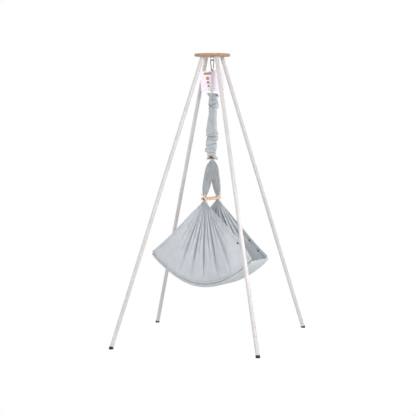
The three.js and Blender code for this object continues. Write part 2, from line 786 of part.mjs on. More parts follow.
// Leather laces round the gathers, on top of the bar
function tie(side) {
  const gather = bar_shift + side * gather_spacing / 2;
  const [half_x, half_y] = [15.5, gather_depth / 2 + 5];
  const stations = arc_stations(0, 0, 1, 0, 337.5, 15).map(([c, s]) =>
    [half_x * c, half_y * s, c, s]);
  return loop_bar(stations, tie_diameter, 8).rotateX(90 * degrees)
    .translate(0, gather, bar_top + run_gap + tie_diameter / 2 + 1);
}

add(hanging, 'front_tie', tie(-1), tan_leather);
add(hanging, 'back_tie', tie(1), tan_leather);

// ---------------------------------------------------------------- snap fasteners

// In the hems of the right-hand opening, on the front face of each cloth.
const snap_shares = { upper: 0.31, lower: 0.13 };

function snap_fastener(side, share) {
  const { x, y, z } = panel_station(side, snap_along, share);
  const stem = 0.6 + snap.height;
  return lathe([[0, 0.6], [snap.radius, 0.6], [snap.radius, stem - 1.2],
    [snap.radius * 0.6, stem], [0, stem]], 20).rotateX(90 * degrees)
    .translate(x, y - cloth_thickness / 2, z);
}

for (const [side, name] of [[-1, 'front'], [1, 'back']]) {
  for (const [level, share] of Object.entries(snap_shares)) {
    add(hanging, `${name}_snap_${level}`, snap_fastener(side, share), dark_brass);
  }
}

// ---------------------------------------------------------------- origin

baby_cradle.updateMatrixWorld(true);
const bounds = new THREE.Box3().setFromObject(baby_cradle, true);
const footprint = bounds.getCenter(vector());
baby_cradle.position.set(-footprint.x, -footprint.y, -bounds.min.z);

export default baby_cradle;
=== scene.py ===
import json
import math

import bmesh
import bpy
import numpy as np
from mathutils import Matrix, Vector, noise


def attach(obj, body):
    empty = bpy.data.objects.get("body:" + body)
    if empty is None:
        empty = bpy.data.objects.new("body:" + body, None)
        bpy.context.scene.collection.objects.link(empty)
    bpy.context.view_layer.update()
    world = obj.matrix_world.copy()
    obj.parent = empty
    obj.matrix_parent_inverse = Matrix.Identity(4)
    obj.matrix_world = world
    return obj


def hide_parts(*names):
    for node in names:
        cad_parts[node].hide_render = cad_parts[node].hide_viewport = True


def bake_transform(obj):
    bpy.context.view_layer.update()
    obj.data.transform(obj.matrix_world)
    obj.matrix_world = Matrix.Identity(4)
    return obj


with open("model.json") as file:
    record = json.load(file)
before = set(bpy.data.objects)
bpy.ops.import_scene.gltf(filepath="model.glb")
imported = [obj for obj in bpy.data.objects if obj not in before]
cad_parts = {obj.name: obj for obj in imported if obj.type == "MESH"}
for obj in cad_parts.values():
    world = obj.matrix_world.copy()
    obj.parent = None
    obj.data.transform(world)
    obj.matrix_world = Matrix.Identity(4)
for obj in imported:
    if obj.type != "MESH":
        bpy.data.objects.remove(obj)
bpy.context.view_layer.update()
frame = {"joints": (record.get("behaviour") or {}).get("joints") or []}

# ------------------------------------------------------------------ frames
# Sizes are millimetres. The hanging pieces are drawn round the hanging axis,
# with X along the cradle, Y across it and the floor at Z = 0.

MM = 0.001
swing = next(j for j in frame["joints"] if j["name"] == "sideways_swing")
axis_x, axis_y = swing["pos_m"][0], swing["pos_m"][1]
along = Vector(swing["axis"]).normalized()
across = Vector((0, 0, 1)).cross(along)

HANGING = Matrix((
    (along.x, across.x, 0, axis_x),
    (along.y, across.y, 0, axis_y),
    (0, 0, 1, 0),
    (0, 0, 0, 1),
)) @ Matrix.Diagonal((MM, MM, MM, 1))
STAND = Matrix.Translation((axis_x, axis_y, 0)) @ Matrix.Diagonal((MM, MM, MM, 1))


def at(x, y, z):
    """A hanging point, in metres in the row frame."""
    return HANGING @ Vector((x, y, z))


# ------------------------------------------------------------------ camera

VIEW_TURN = math.radians(15.2)
VIEW_DISTANCE = 8.89
EYE_HEIGHT = 1.533
camera_data = bpy.data.cameras.new("camera")
camera_data.lens = 106.8
camera_data.sensor_width = 36
camera_data.shift_x = -0.0103
camera = bpy.data.objects.new("camera", camera_data)
camera.location = (axis_x + VIEW_DISTANCE * math.sin(VIEW_TURN),
                   axis_y - VIEW_DISTANCE * math.cos(VIEW_TURN), EYE_HEIGHT)
camera.rotation_euler = (math.radians(90 - 3.776), 0, VIEW_TURN)
bpy.context.scene.collection.objects.link(camera)
bpy.context.scene.camera = camera
bpy.context.scene.view_settings.view_transform = "Standard"

# ------------------------------------------------------------------ sizes

GAP = 0.3                        # between pieces that touch
PLATE = {"height": 2034, "radius": 128, "thickness": 18, "round": 2.5}
LEG = {"diameter": 28, "wall": 1.5, "top": 82.5, "foot": 835, "split": 1080}
BEARINGS = {"back_right": 48.9, "back_left": 136.2, "front_left": 228.3, "front_right": 306.5}
SEAT_RADIUS = LEG["diameter"] / 2 + 1
LEG_TILT = math.atan2(LEG["foot"] - LEG["top"], PLATE["height"])
LEG_LENGTH = PLATE["height"] / math.cos(LEG_TILT)
SEAT = LEG_LENGTH + SEAT_RADIUS * math.tan(LEG_TILT)

BAR = {"length": 220, "width": 42, "height": 20, "slot": 18, "depth": 34, "low": 1007, "shift": -14}
GATHER_SPACING = 190
GATHER_DEPTH = 30
BASE = {"half": 428, "width": 128, "low": 386.9, "bend": 0.00114, "lean": 0.018, "thickness": 24,
        "shift_x": -21, "shift_y": -6}
STRAP = {"width": 24, "thickness": 2.5, "bottom": 1297, "rivet": 1310}
SLEEVE = {"top": 1777, "bottom": 1294, "least": 26.0}     # least radius, clear of the spring
SPRING = {"radius": 22, "wire": 4, "turns": 60, "pitch": 4.3}

# ------------------------------------------------------------------ materials


def linear(code):
    """An sRGB hex value as linear colour."""
    values = [int(code[i:i + 2], 16) / 255 for i in (0, 2, 4)]
    return [v / 12.92 if v <= 0.04045 else ((v + 0.055) / 1.055) ** 2.4 for v in values] + [1]


def add(tree, kind, inputs=None, stops=(), **settings):
    """Adds one node, with its settings, its values and its links. stops gives a
    colour ramp's places and colours."""
    made = tree.nodes.new("ShaderNode" + kind)
    for number, (place, code) in enumerate(stops):
        made.color_ramp.elements[number].position = place
        made.color_ramp.elements[number].color = linear(code)
    for key, value in settings.items():
        setattr(made, key, value)
    for key, value in (inputs or {}).items():
        if isinstance(value, bpy.types.NodeSocket):
            tree.links.new(value, made.inputs[key])
        else:
            made.inputs[key].default_value = value
    return made


def surface(name, **values):
    """A new material and its nodes; values are set on the shader's own sockets."""
    made = bpy.data.materials.new(name)
    made.use_nodes = True
    shader = made.node_tree.nodes["Principled BSDF"]
    for key, value in values.items():
        shader.inputs[key.replace("_", " ")].default_value = value
    return made, made.node_tree


def dress(made, pattern, dark, light, relief=None, strength=0.0, depth=0.0, low=0.35, high=0.65):
    """Colours a material from dark to light over part of a pattern. relief, if
    given, stands up to depth millimetres high."""
    tree = made.node_tree
    shader = tree.nodes["Principled BSDF"]
    ramp = add(tree, "ValToRGB", {"Fac": pattern}, stops=[(low, dark), (high, light)])
    tree.links.new(ramp.outputs["Color"], shader.inputs["Base Color"])
    if relief:
        bump = add(tree, "Bump", {"Height": relief, "Strength": strength, "Distance": depth * MM})
        tree.links.new(bump.outputs["Normal"], shader.inputs["Normal"])
    return made


def spacing(mm):
    """Wave scale whose bands are that far apart."""
    return 2 * math.pi / (20 * mm * MM)


def grain(mm):
    """Noise scale whose features are about that wide."""
    return 1 / (mm * MM)


def enamel():
    """Powder coat on steel tube: an even warm white with a soft gloss and a
    faint orange peel of about 2 mm."""
    made, tree = surface("white_powder_coat", Roughness=0.42, IOR=1.5)
    place = add(tree, "TexCoord").outputs["Object"]
    cloud = add(tree, "TexNoise", {"Vector": place, "Scale": grain(60), "Detail": 3}).outputs["Fac"]
    peel = add(tree, "TexNoise", {"Vector": place, "Scale": grain(2), "Detail": 1}).outputs["Fac"]
    return dress(made, cloud, "C4BFBF", "CBC7C7", peel, 0.08, 0.2)


def beech(name, pale, deep, fleck, turn):
    """Oiled beech, planed: a pale pink-brown with long soft bands and the short
    dark flecks of its rays, 1 to 3 mm long. turn lays the grain along X or Y."""
    made, tree = surface(name, Roughness=0.5, IOR=1.46)
    shader = tree.nodes["Principled BSDF"]
    place = add(tree, "TexCoord").outputs["Object"]
    turned = add(tree, "Mapping", {"Vector": place, "Rotation": (0, 0, turn),
                                   "Scale": (1, 8, 8)}).outputs["Vector"]
    bands = add(tree, "TexNoise", {"Vector": turned, "Scale": grain(120), "Detail": 4,
                                   "Distortion": 0.6}).outputs["Fac"]
    bands_colour = add(tree, "ValToRGB", {"Fac": bands},
                       stops=[(0.35, deep), (0.65, pale)]).outputs["Color"]
    rays = add(tree, "TexNoise", {"Vector": add(tree, "Mapping", {
        "Vector": place, "Rotation": (0, 0, turn), "Scale": (1, 5, 5)}).outputs["Vector"],
        "Scale": grain(4), "Detail": 2}).outputs["Fac"]
    dark = add(tree, "MapRange", {"Value": rays, "From Min": 0.6, "From Max": 0.72,
                                  "To Max": 0.6}).outputs["Result"]
    mixed = add(tree, "Mix", {0: dark, 6: bands_colour, 7: linear(fleck)}, data_type="RGBA")
    tree.links.new(mixed.outputs[2], shader.inputs["Base Color"])
    bump = add(tree, "Bump", {"Height": rays, "Strength": 0.15, "Distance": 0.3 * MM})
    tree.links.new(bump.outputs["Normal"], shader.inputs["Normal"])
    return made


def rubber():
    """Moulded black rubber: almost matt, with a fine grain and dusty lights."""
    made, tree = surface("moulded_rubber", Roughness=0.78, IOR=1.5)
    place = add(tree, "TexCoord").outputs["Object"]
    dust = add(tree, "TexNoise", {"Vector": place, "Scale": grain(6), "Detail": 5}).outputs["Fac"]
    grit = add(tree, "TexNoise", {"Vector": place, "Scale": grain(0.8)}).outputs["Fac"]
    return dress(made, dust, "171718", "2A2A2C", grit, 0.2, 0.2)


def metal(name, dark, light, rough, streak):
    """Plated or rolled metal: its colour clouds a little, and fine drawing
    marks show in its roughness."""
    made, tree = surface(name, Metallic=1.0)
    place = add(tree, "TexCoord").outputs["Object"]
    cloud = add(tree, "TexNoise", {"Vector": place, "Scale": grain(12), "Detail": 4}).outputs["Fac"]
    marks = add(tree, "TexNoise", {"Vector": place, "Scale": grain(streak),
                                   "Detail": 3}).outputs["Fac"]
    spread = add(tree, "MapRange", {"Value": marks, "To Min": rough - 0.08, "To Max": rough + 0.12})
    tree.links.new(spread.outputs["Result"], tree.nodes["Principled BSDF"].inputs["Roughness"])
    return dress(made, cloud, dark, light)


def cotton(name, dark, light, thread=1.3, flat=None, strength=0.5):
    """Woven cotton: matt and cool grey, with a plain weave. The threads are drawn
    1.3 mm apart, coarser than real, so that they show. flat names the UV map
    that follows the cloth; without it the weave lies in the piece's own frame."""
    made, tree = surface(name, Roughness=0.92, IOR=1.45, Sheen_Weight=0.25, Sheen_Roughness=0.5)
    if flat:
        place = add(tree, "UVMap", uv_map=flat).outputs["UV"]
    else:
        place = add(tree, "TexCoord").outputs["Object"]
    cloud = add(tree, "TexNoise", {"Vector": add(tree, "TexCoord").outputs["Object"],
                                   "Scale": grain(45), "Detail": 6}).outputs["Fac"]
    warp, weft = (add(tree, "TexWave", {"Vector": place, "Scale": spacing(thread),
                                        "Distortion": 0.6, "Detail Scale": 2.0},
                      bands_direction=direction).outputs["Fac"] for direction in ("X", "Y"))
    weave = add(tree, "Math", {0: warp, 1: weft}, operation="MULTIPLY").outputs["Value"]
    slub = add(tree, "TexNoise", {"Vector": place, "Scale": grain(7), "Detail": 5}).outputs["Fac"]
    height = add(tree, "Math", {0: slub, 1: 0.8, 2: weave}, operation="MULTIPLY_ADD")
    return dress(made, cloud, dark, light, height.outputs["Value"], strength, 0.5)


def leather(name, dark, light):
    """Vegetable-tanned leather: warm, waxed, with a pebbled grain of 1 mm and
    darker creases."""
    made, tree = surface(name, Roughness=0.6, IOR=1.5)
    place = add(tree, "TexCoord").outputs["Object"]
    cloud = add(tree, "TexNoise", {"Vector": place, "Scale": grain(9), "Detail": 5}).outputs["Fac"]
    pebbles = add(tree, "TexVoronoi", {"Vector": place, "Scale": grain(1)}).outputs["Distance"]
    return dress(made, cloud, dark, light, pebbles, 0.25, 0.2)


def paper(name, dark, light, roughness):
    """Uncoated card or printed ink on it: a soft fibre of about 1 mm."""
    made, tree = surface(name, Roughness=roughness, IOR=1.45)
    place = add(tree, "TexCoord").outputs["Object"]
    fibre = add(tree, "TexNoise", {"Vector": place, "Scale": grain(14), "Detail": 8}).outputs["Fac"]
    fine = add(tree, "TexNoise", {"Vector": place, "Scale": grain(1), "Detail": 3}).outputs["Fac"]
    return dress(made, fibre, dark, light, fine, 0.1, 0.1)


def twisted(name, dark, light, lay):
    """Twisted cotton or nylon cord: slanting strands show as bands, coloured darker in the grooves
    between the strands as painted shade.
    """
    made, tree = surface(name, Roughness=0.8, IOR=1.5, Sheen_Weight=0.2)
    place = add(tree, "UVMap", uv_map="flat").outputs["UV"]
    strands = add(tree, "TexWave", {"Vector": place, "Scale": spacing(lay), "Distortion": 0.3},
                  bands_direction="DIAGONAL").outputs["Fac"]
    return dress(made, strands, dark, light, strands, 0.6, 0.4, low=0.1, high=0.6)


def foam():
    """Open-cell foam: soft off-white with 1 mm cells; the cells' hollows are coloured darker as painted
    shade.
    """
    made, tree = surface("open_cell_foam", Roughness=0.95, IOR=1.4)
    place = add(tree, "TexCoord").outputs["Object"]
    cells = add(tree, "TexVoronoi", {"Vector": place, "Scale": grain(1.2)}).outputs["Distance"]
    return dress(made, cells, "DAD8CE", "F0EFE8", cells, 0.5, 0.5, low=0.1, high=0.7)


WHITE_STEEL = enamel()
GRAIN_TURN = math.radians(-20)
PLATE_BEECH = beech("oiled_beech_plate", "B38E6D", "A07755", "7F5836", GRAIN_TURN)
BAR_BEECH = beech("oiled_beech_bar", "E6C29C", "D3A67C", "AB7A50", math.radians(75))
RUBBER = rubber()
ZINC = metal("zinc_plated_steel", "8E8883", "B5B0AB", 0.34, 1.5)
# The snap hook and its gate: zinc plating a little rougher than the rest, and coloured much darker as
# painted shade, standing for the dim near side of the room that the hook reflects.
DULL_ZINC_PAINTED_SHADE = metal("zinc_plated_steel_dull_painted_shade", "4A4340", "6E6661", 0.4, 1.2)
BRASS = metal("turned_brass", "9A7B3E", "C6A663", 0.3, 1.0)
DARK_BRASS = metal("blackened_brass", "1B1817", "3A3431", 0.42, 0.8)
CLOTH = cotton("grey_cotton", "B5BABF", "BDC1C6", flat="flat")
HEM_CLOTH = cotton("grey_cotton_hem", "ADB2B7", "B8BCC1", flat="flat", strength=0.4)
PAD_CLOTH = cotton("grey_cotton_pad", "ACB1B5", "B6BABE")
THREAD = twisted("sewing_thread", "9AA1A5", "B4BABD", 1.2)
LEATHER = leather("tan_leather", "B98A61", "D0A57C")
LACE = leather("natural_leather_lace", "E2C2AE", "F3DFD3")
CARD = paper("folded_card", "DDD3DF", "E6DDE8", 0.7)
PRINT = paper("brown_ink", "9A7458", "AE8666", 0.55)
CORD = twisted("white_cord", "CFCFCB", "ECECE8", 3)
FOAM = foam()

# ------------------------------------------------------------------ meshes


def piece(name, points, faces, material, frame_matrix=HANGING, uv=None, smooth=40, weld=True):
    """A mesh piece from points in millimetres. uv gives one (u, v) a point, in
    metres of cloth; smooth is the angle above which an edge stays sharp."""
    mesh = bpy.data.meshes.new(name)
    mesh.from_pydata([frame_matrix @ Vector(p) for p in points], [], faces)
    if uv is not None:
        layer = mesh.uv_layers.new(name="flat")
        loops = np.zeros(len(mesh.loops), np.int32)
        mesh.loops.foreach_get("vertex_index", loops)
        layer.data.foreach_set("uv", np.asarray(uv, np.float32)[loops].ravel())
    made = bpy.data.objects.new(name, mesh)
    bpy.context.scene.collection.objects.link(made)
    mesh.materials.append(material)
    if weld:
        tidy_mesh(made)
    shade(made, smooth)
    return made


def tidy_mesh(made):
    """Welds doubled points and turns every face outwards."""
    work = bmesh.new()
    work.from_mesh(made.data)
    bmesh.ops.remove_doubles(work, verts=work.verts, dist=1e-6)
    bmesh.ops.recalc_face_normals(work, faces=work.faces)
    work.to_mesh(made.data)
    work.free()


def shade(made, angle):
    made.data.polygons.foreach_set("use_smooth", [True] * len(made.data.polygons))
    if angle < 180:
        made.data.set_sharp_from_angle(angle=math.radians(angle))


def grid(rows, columns, wrap=False, loop=False, caps=False):
    """Faces of a grid of points; wrap joins its last column to its first, loop
    its last row to its first, and caps close its first and last row."""
    across_count = columns if wrap else columns - 1
    down_count = rows if loop else rows - 1
    faces = []
    for r in range(down_count):
        below = (r + 1) % rows
        for c in range(across_count):
            beside = (c + 1) % columns
            faces.append((r * columns + c, r * columns + beside,
                          below * columns + beside, below * columns + c))
    if caps:
        faces.append(tuple(range(columns))[::-1])
        faces.append(tuple((rows - 1) * columns + c for c in range(columns)))
    return faces


def apply_modifiers(made):
    evaluated = made.evaluated_get(bpy.context.evaluated_depsgraph_get())
    mesh = bpy.data.meshes.new_from_object(evaluated)
    made.modifiers.clear()
    made.data = mesh
    return made


def modify(made, kind, **settings):
    change = made.modifiers.new(kind.lower(), kind)
    for key, value in settings.items():
        setattr(change, key, value)
    return apply_modifiers(made)


def carve(made, other, operation="DIFFERENCE"):
    """Cuts another piece from this one, or joins it on, and removes the other."""
    modify(made, "BOOLEAN", object=other, operation=operation, solver="EXACT")
    bpy.data.objects.remove(other)
    tidy_mesh(made)
    shade(made, 35)
    return made


def lathe(name, profile, material, sides=48, place=Matrix(), frame_matrix=HANGING, closed=False):
    """Turns a profile of (radius, z) about Z."""
    points = [place @ Vector((r * math.cos(a), r * math.sin(a), z))
              for r, z in profile
              for a in (2 * math.pi * i / sides for i in range(sides))]
    return piece(name, points, grid(len(profile), sides, wrap=True, loop=closed), material,
                 frame_matrix)


def rounded(radius, low, high, edge, steps=4):
    """Profile of a solid cylinder with rounded edges."""
    profile = [(0, low)]
    for centre, first in ((low + edge, -90), (high - edge, 0)):
        for i in range(steps + 1):
            angle = math.radians(first + 90 * i / steps)
            profile.append((radius - edge + edge * math.cos(angle), centre + edge * math.sin(angle)))
    return profile + [(0, high)]


def drill(made, radius, low, high, place=Matrix(), sides=24, edge=0.1, frame_matrix=HANGING):
    """Drills a round hole from low to high along Z of a place."""
    bit = lathe("bit", rounded(radius, low, high, edge, 1), made.data.materials[0], sides, place,
                frame_matrix)
    return carve(made, bit)


def tube_profile(inner, outer, low, high, edge=0.4):
    """Profile of a tube with broken edges, closed on itself."""
    return [(inner, low + edge), (inner + edge, low), (outer - edge, low), (outer, low + edge),
            (outer, high - edge), (outer - edge, high), (inner + edge, high), (inner, high - edge)]


def sweep(name, path, radius, material, sides=12, loop=False, flatten=1.0):
    """A round bar or cord along a row of points; flatten is the section's
    height over its width."""
    path = [Vector(p) for p in path]
    count = len(path)
    tangents = []
    for i in range(count):
        before = path[i - 1] if i or loop else path[0]
        after = path[(i + 1) % count] if i < count - 1 or loop else path[-1]
        tangents.append((after - before).normalized())
    side = tangents[0].orthogonal().normalized()
    if abs(tangents[0].z) < 0.9:
        side = tangents[0].cross(Vector((0, 0, 1))).normalized()
    points, uv, travelled = [], [], 0
    for i, (centre, tangent) in enumerate(zip(path, tangents)):
        side = (side - tangent * side.dot(tangent)).normalized()
        other = tangent.cross(side)
        travelled += (centre - path[i - 1]).length if i else 0
        for k in range(sides):
            angle = 2 * math.pi * k / sides
            points.append(centre + radius * (math.cos(angle) * side
                                             + flatten * math.sin(angle) * other))
            uv.append((k / sides * 2 * math.pi * radius * MM, travelled * MM))
    faces = grid(count, sides, wrap=True, loop=loop, caps=not loop)
    return piece(name, points, faces, material, uv=uv)


def arc(x, z, radius, start, stop, steps):
    """Points of an arc in the XZ plane; angles in degrees."""
    angles = [math.radians(start + (stop - start) * i / steps) for i in range(steps + 1)]
    return [(x + radius * math.cos(a), 0, z + radius * math.sin(a)) for a in angles]


def turned_to_y(points):
    """A drawing in the XZ plane, turned into the YZ plane."""
    return [(-y, x, z) for x, y, z in points]


def ease(share):
    share = max(0.0, min(1.0, share))
    return share * share * (3 - 2 * share)


def between(table, value):
    """Looks a value up in a table whose rows start with it; gives the rest."""
    keys, *columns = zip(*table)
    return [float(np.interp(value, keys, column)) for column in columns]


def ripple(x, y, z):
    """Smooth noise from -1 to 1."""
    return noise.noise(Vector((x, y, z)))


def belongs(made, body, slot, *nodes):
    """The piece rides on a body and stands for nodes; its slot is not used."""
    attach(made, body)
    if nodes:
        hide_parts(*nodes)
    return made


def stretches(made, node):
    """The piece reaches from the hanger to the spring's lower end; its place is baked into its points
    and it stands for node.
    """
    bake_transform(made)
    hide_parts(node)


# ------------------------------------------------------------------ stand


def leg_place(bearing):
    """A leg's frame: Z along its axis from the floor up."""
    return (Matrix.Rotation(math.radians(bearing), 4, "Z")
            @ Matrix.Translation((LEG["foot"], 0, 0))
            @ Matrix.Rotation(-LEG_TILT, 4, "Y"))


def build_leg(name, bearing):
    place = leg_place(bearing)
    outer = LEG["diameter"] / 2
    inner = outer - LEG["wall"]
    core = inner - GAP

    def turn(part, profile, material, slot, closed=False):
        made = lathe(f"{name}_{part}_finish", profile, material, 56, place, STAND, closed)
        return belongs(made, "stand", slot, f"{name}_{part}")

    turn("lower_tube", tube_profile(inner, outer, 9, LEG["split"] - 0.15), WHITE_STEEL,
         "painted_steel", True)
    turn("upper_tube", tube_profile(inner, outer, LEG["split"] + 0.15, SEAT - GAP), WHITE_STEEL,
         "painted_steel", True)
    turn("spigot", tube_profile(core - LEG["wall"], core, LEG["split"] - 60, LEG["split"] + 60),
         ZINC, "plated_steel", True)
    top = SEAT - GAP
    stud = [(4 - (0.35 if i % 2 else 0), top + 0.6 * i) for i in range(1, 13)]
    turn("top_plug", [(0, top - 32), (core - 1, top - 32), (core, top - 31), (core, top - 0.4),
                      (core - 0.4, top), (4, top), *stud, (3, top + 8), (0, top + 8)], ZINC,
         "plated_steel")
    turn("insert", tube_profile(4.3, 6.2, SEAT + GAP, SEAT + 9, 0.3), BRASS, "brass", True)

    # The foot: a cap with a lip, cut level with the floor.
    cap_outer = outer + 1.5
    bore = outer + GAP
    foot = lathe(f"{name}_foot_finish", [
        (0, -20), (cap_outer - 1.5, -20), (cap_outer, -18.5), (cap_outer, 3), (cap_outer - 0.4, 3.6),
        (cap_outer - 0.4, 5.2), (cap_outer, 5.8), (cap_outer, 15.6), (cap_outer - 0.3, 16.6),
        (cap_outer - 0.7, 17), (bore + 0.3, 16.8), (bore, 16.2), (bore, 8.7), (0, 8.7)],
        RUBBER, 48, place, STAND)
    work = bmesh.new()
    work.from_mesh(foot.data)
    bmesh.ops.bisect_plane(work, geom=work.verts[:] + work.edges[:] + work.faces[:],
                           plane_co=(0, 0, 0), plane_no=(0, 0, -1), clear_outer=True)
    rim = [edge for edge in work.edges if edge.is_boundary]
    bmesh.ops.holes_fill(work, edges=rim)
    work.to_mesh(foot.data)
    work.free()
    tidy_mesh(foot)
    shade(foot, 40)
    belongs(foot, "stand", "rubber", f"{name}_foot")


for leg_name, leg_bearing in BEARINGS.items():
    build_leg(f"{leg_name}_leg", leg_bearing)

plate_top = PLATE["height"] + PLATE["thickness"]
top_plate = lathe("top_plate_finish", rounded(PLATE["radius"], PLATE["height"], plate_top,
                                              PLATE["round"], 6), PLATE_BEECH, 128, Matrix(), STAND)
for leg_bearing in BEARINGS.values():
    seat_place = leg_place(leg_bearing)
    drill(top_plate, SEAT_RADIUS, SEAT - 60, SEAT, seat_place, 48, 0.3, STAND)
    drill(top_plate, 6.5, SEAT - 1, SEAT + 9.6, seat_place, frame_matrix=STAND)
BORE_DEPTH = 10
drill(top_plate, 12, plate_top - BORE_DEPTH, plate_top + 5, sides=48, frame_matrix=STAND)
drill(top_plate, 4.6, PLATE["height"] - 5, plate_top, sides=32, frame_matrix=STAND)
belongs(top_plate, "stand", "beech", "top_plate")

# ------------------------------------------------------------------ eye bolt

EYE_WIRE = 5
EYE_RADIUS = 13.5
EYE_TURN = math.radians(60)      # of its ring from the cradle's length
eye_centre = PLATE["height"] - GAP - EYE_RADIUS - EYE_WIRE / 2
eye_path = [Matrix.Rotation(EYE_TURN, 4, "Z") @ Vector(p)
            for p in arc(0, eye_centre, EYE_RADIUS, 0, 354, 59)]
eye = sweep("eye_bolt_finish", eye_path, EYE_WIRE / 2, ZINC, 20, loop=True)
carve(eye, lathe("collar", rounded(9.5, PLATE["height"] - 4.3, PLATE["height"] - GAP, 0.8), ZINC),
      "UNION")
washer_low = plate_top - BORE_DEPTH + GAP
thread = [(4 - (0.4 if i % 2 else 0), PLATE["height"] - 2 + 0.55 * i) for i in range(43)]
thread = [row for row in thread if row[1] < washer_low + 8.9]
carve(eye, lathe("shank", [(0, PLATE["height"] - 2), *thread, (0, washer_low + 9)], ZINC, 32),
      "UNION")
belongs(eye, "stand", "plated_steel", "eye_bolt")
washer = lathe("eye_washer_finish", tube_profile(4.3, 9, washer_low, washer_low + 1.6, 0.25), ZINC,
               48, closed=True)
belongs(washer, "stand", "plated_steel", "eye_washer")
nut_low = washer_low + 1.9
nut = lathe("eye_nut_finish", rounded(7.5, nut_low, nut_low + 6.5, 0.05, 1), ZINC, 6)
carve(nut, lathe("chamfer", [(0, nut_low), (6.6, nut_low), (7.9, nut_low + 1.1),
                             (7.9, nut_low + 5.4), (6.6, nut_low + 6.5), (0, nut_low + 6.5)], ZINC),
      "INTERSECT")
carve(nut, lathe("nut_bore", [(0, nut_low - 1), (4.3, nut_low - 1), (4.3, nut_low + 8),
                              (0, nut_low + 8)], ZINC, 32))
belongs(nut, "stand", "plated_steel", "eye_nut")

# ------------------------------------------------------------------ snap hook

HOOK = {"wire": 6, "top": 15, "low": 7, "length": 82}
GATE = {"wire": 5.4, "reach": 38, "rise": 9, "tang": 2, "rivet": 1.2}
hook_top = eye_centre - EYE_RADIUS + EYE_WIRE / 2 + GAP + HOOK["wire"] / 2
hook_low = hook_top - (HOOK["length"] - HOOK["wire"])
top_bend, low_bend = hook_top - HOOK["top"], hook_low + HOOK["low"]
pivot = Vector((HOOK["low"], 0, low_bend + GATE["rise"]))
gate_lean = math.atan2(HOOK["top"] - HOOK["low"], top_bend - low_bend)
GATE_PLACE = Matrix.Translation(pivot) @ Matrix.Rotation(gate_lean, 4, "Y")
AROUND_Y = Matrix.Rotation(math.radians(90), 4, "X")


def smooth_path(points, steps):
    """A smooth curve through points, evened out along its length."""
    points = [Vector(p) for p in points]
    dense = []
    for i in range(len(points) - 1):
        p0, p1 = points[max(i - 1, 0)], points[i]
        p2, p3 = points[i + 1], points[min(i + 2, len(points) - 1)]
        for k in range(12):
            t = k / 12
            dense.append(0.5 * (2 * p1 + (p2 - p0) * t + (2 * p0 - 5 * p1 + 4 * p2 - p3) * t * t
                                + (3 * p1 - p0 - 3 * p2 + p3) * t ** 3))
    dense.append(points[-1])
    travelled = np.concatenate([[0], np.cumsum([(b - a).length for a, b in zip(dense, dense[1:])])])
    wanted = np.linspace(0, travelled[-1], steps)
    columns = np.array([tuple(p) for p in dense])
    return [Vector([float(np.interp(w, travelled, columns[:, k])) for k in range(3)])
            for w in wanted]


latch = GATE_PLACE @ Vector((0, 0, GATE["reach"] + 0.6))
hook_path = [tuple(latch), *arc(0, top_bend, HOOK["top"], 12, 168, 12),
             *arc(0, low_bend, HOOK["low"], 186, 360, 10)]
hook = sweep("snap_hook_finish", smooth_path(hook_path, 110), HOOK["wire"] / 2, DULL_ZINC_PAINTED_SHADE, 20)


def slab(name, x, y, low, high, place, material):
    points = [place @ Vector((sx * x / 2, sy * y / 2, z))
              for z in (low, high) for sx, sy in ((-1, -1), (1, -1), (1, 1), (-1, 1))]
    return piece(name, points, [(3, 2, 1, 0), (4, 5, 6, 7), (0, 1, 5, 4), (1, 2, 6, 5),
                                (2, 3, 7, 6), (3, 0, 4, 7)], material)


tang = slab("tang", HOOK["wire"], GATE["tang"], -GATE["rise"] - 1, 0.5, GATE_PLACE, DULL_ZINC_PAINTED_SHADE)
carve(tang, lathe("tang_end", rounded(HOOK["wire"] / 2, -GATE["tang"] / 2, GATE["tang"] / 2, 0.2, 1),
                  DULL_ZINC_PAINTED_SHADE, 32, GATE_PLACE @ AROUND_Y), "UNION")
drill(tang, GATE["rivet"] + GAP, -9, 9, GATE_PLACE @ AROUND_Y)
carve(hook, tang, "UNION")
belongs(hook, "snap_hook", "plated_steel", "snap_hook_frame")
gate = lathe("snap_hook_gate_finish", rounded(GATE["wire"] / 2, -GATE["wire"] / 2, GATE["reach"],
                                              0.8), DULL_ZINC_PAINTED_SHADE, 32, GATE_PLACE)
carve(gate, slab("gate_slot", 2 * GATE["wire"], GATE["tang"] + 0.6, -20, HOOK["wire"] / 2 + 0.6,
                 GATE_PLACE, DULL_ZINC_PAINTED_SHADE))
drill(gate, GATE["rivet"] + GAP, -9, 9, GATE_PLACE @ AROUND_Y)
belongs(gate, "snap_hook_gate", "plated_steel", "snap_hook_gate")
pin = lathe("snap_hook_rivet_finish", rounded(GATE["rivet"], -GATE["wire"] / 2, GATE["wire"] / 2,
                                              0.4), ZINC, 24, GATE_PLACE @ AROUND_Y)
belongs(pin, "snap_hook", "plated_steel", "snap_hook_rivet")

# ------------------------------------------------------------------ link, spring, plugs, rope

LINK = {"wire": 5, "bend": 9.5, "length": 241}
PLUG = {"eye": 8, "wire": 5, "height": 26, "rim": 2}
link_top = hook_low + HOOK["wire"] / 2 + GAP + LINK["wire"] / 2
link_low = link_top - (LINK["length"] - LINK["wire"])
link_path = turned_to_y([*arc(0, link_top - LINK["bend"], LINK["bend"], 0, 180, 20),
                         *arc(0, link_low + LINK["bend"], LINK["bend"], 180, 360, 20)])
link = sweep("top_link_finish", link_path, LINK["wire"] / 2, ZINC, 18, loop=True)
belongs(link, "hanger", "plated_steel", "top_link")

upper_eye = link_low + LINK["wire"] / 2 + GAP + PLUG["wire"] / 2 - PLUG["eye"]
spring_high = upper_eye - PLUG["eye"] - PLUG["rim"]
spring_low = spring_high - SPRING["turns"] * SPRING["pitch"] - SPRING["wire"]
lower_eye = spring_low - PLUG["eye"] - PLUG["rim"]
plug_radius = (SPRING["radius"] - SPRING["wire"] / 2) * math.cos(math.pi / 6) - GAP

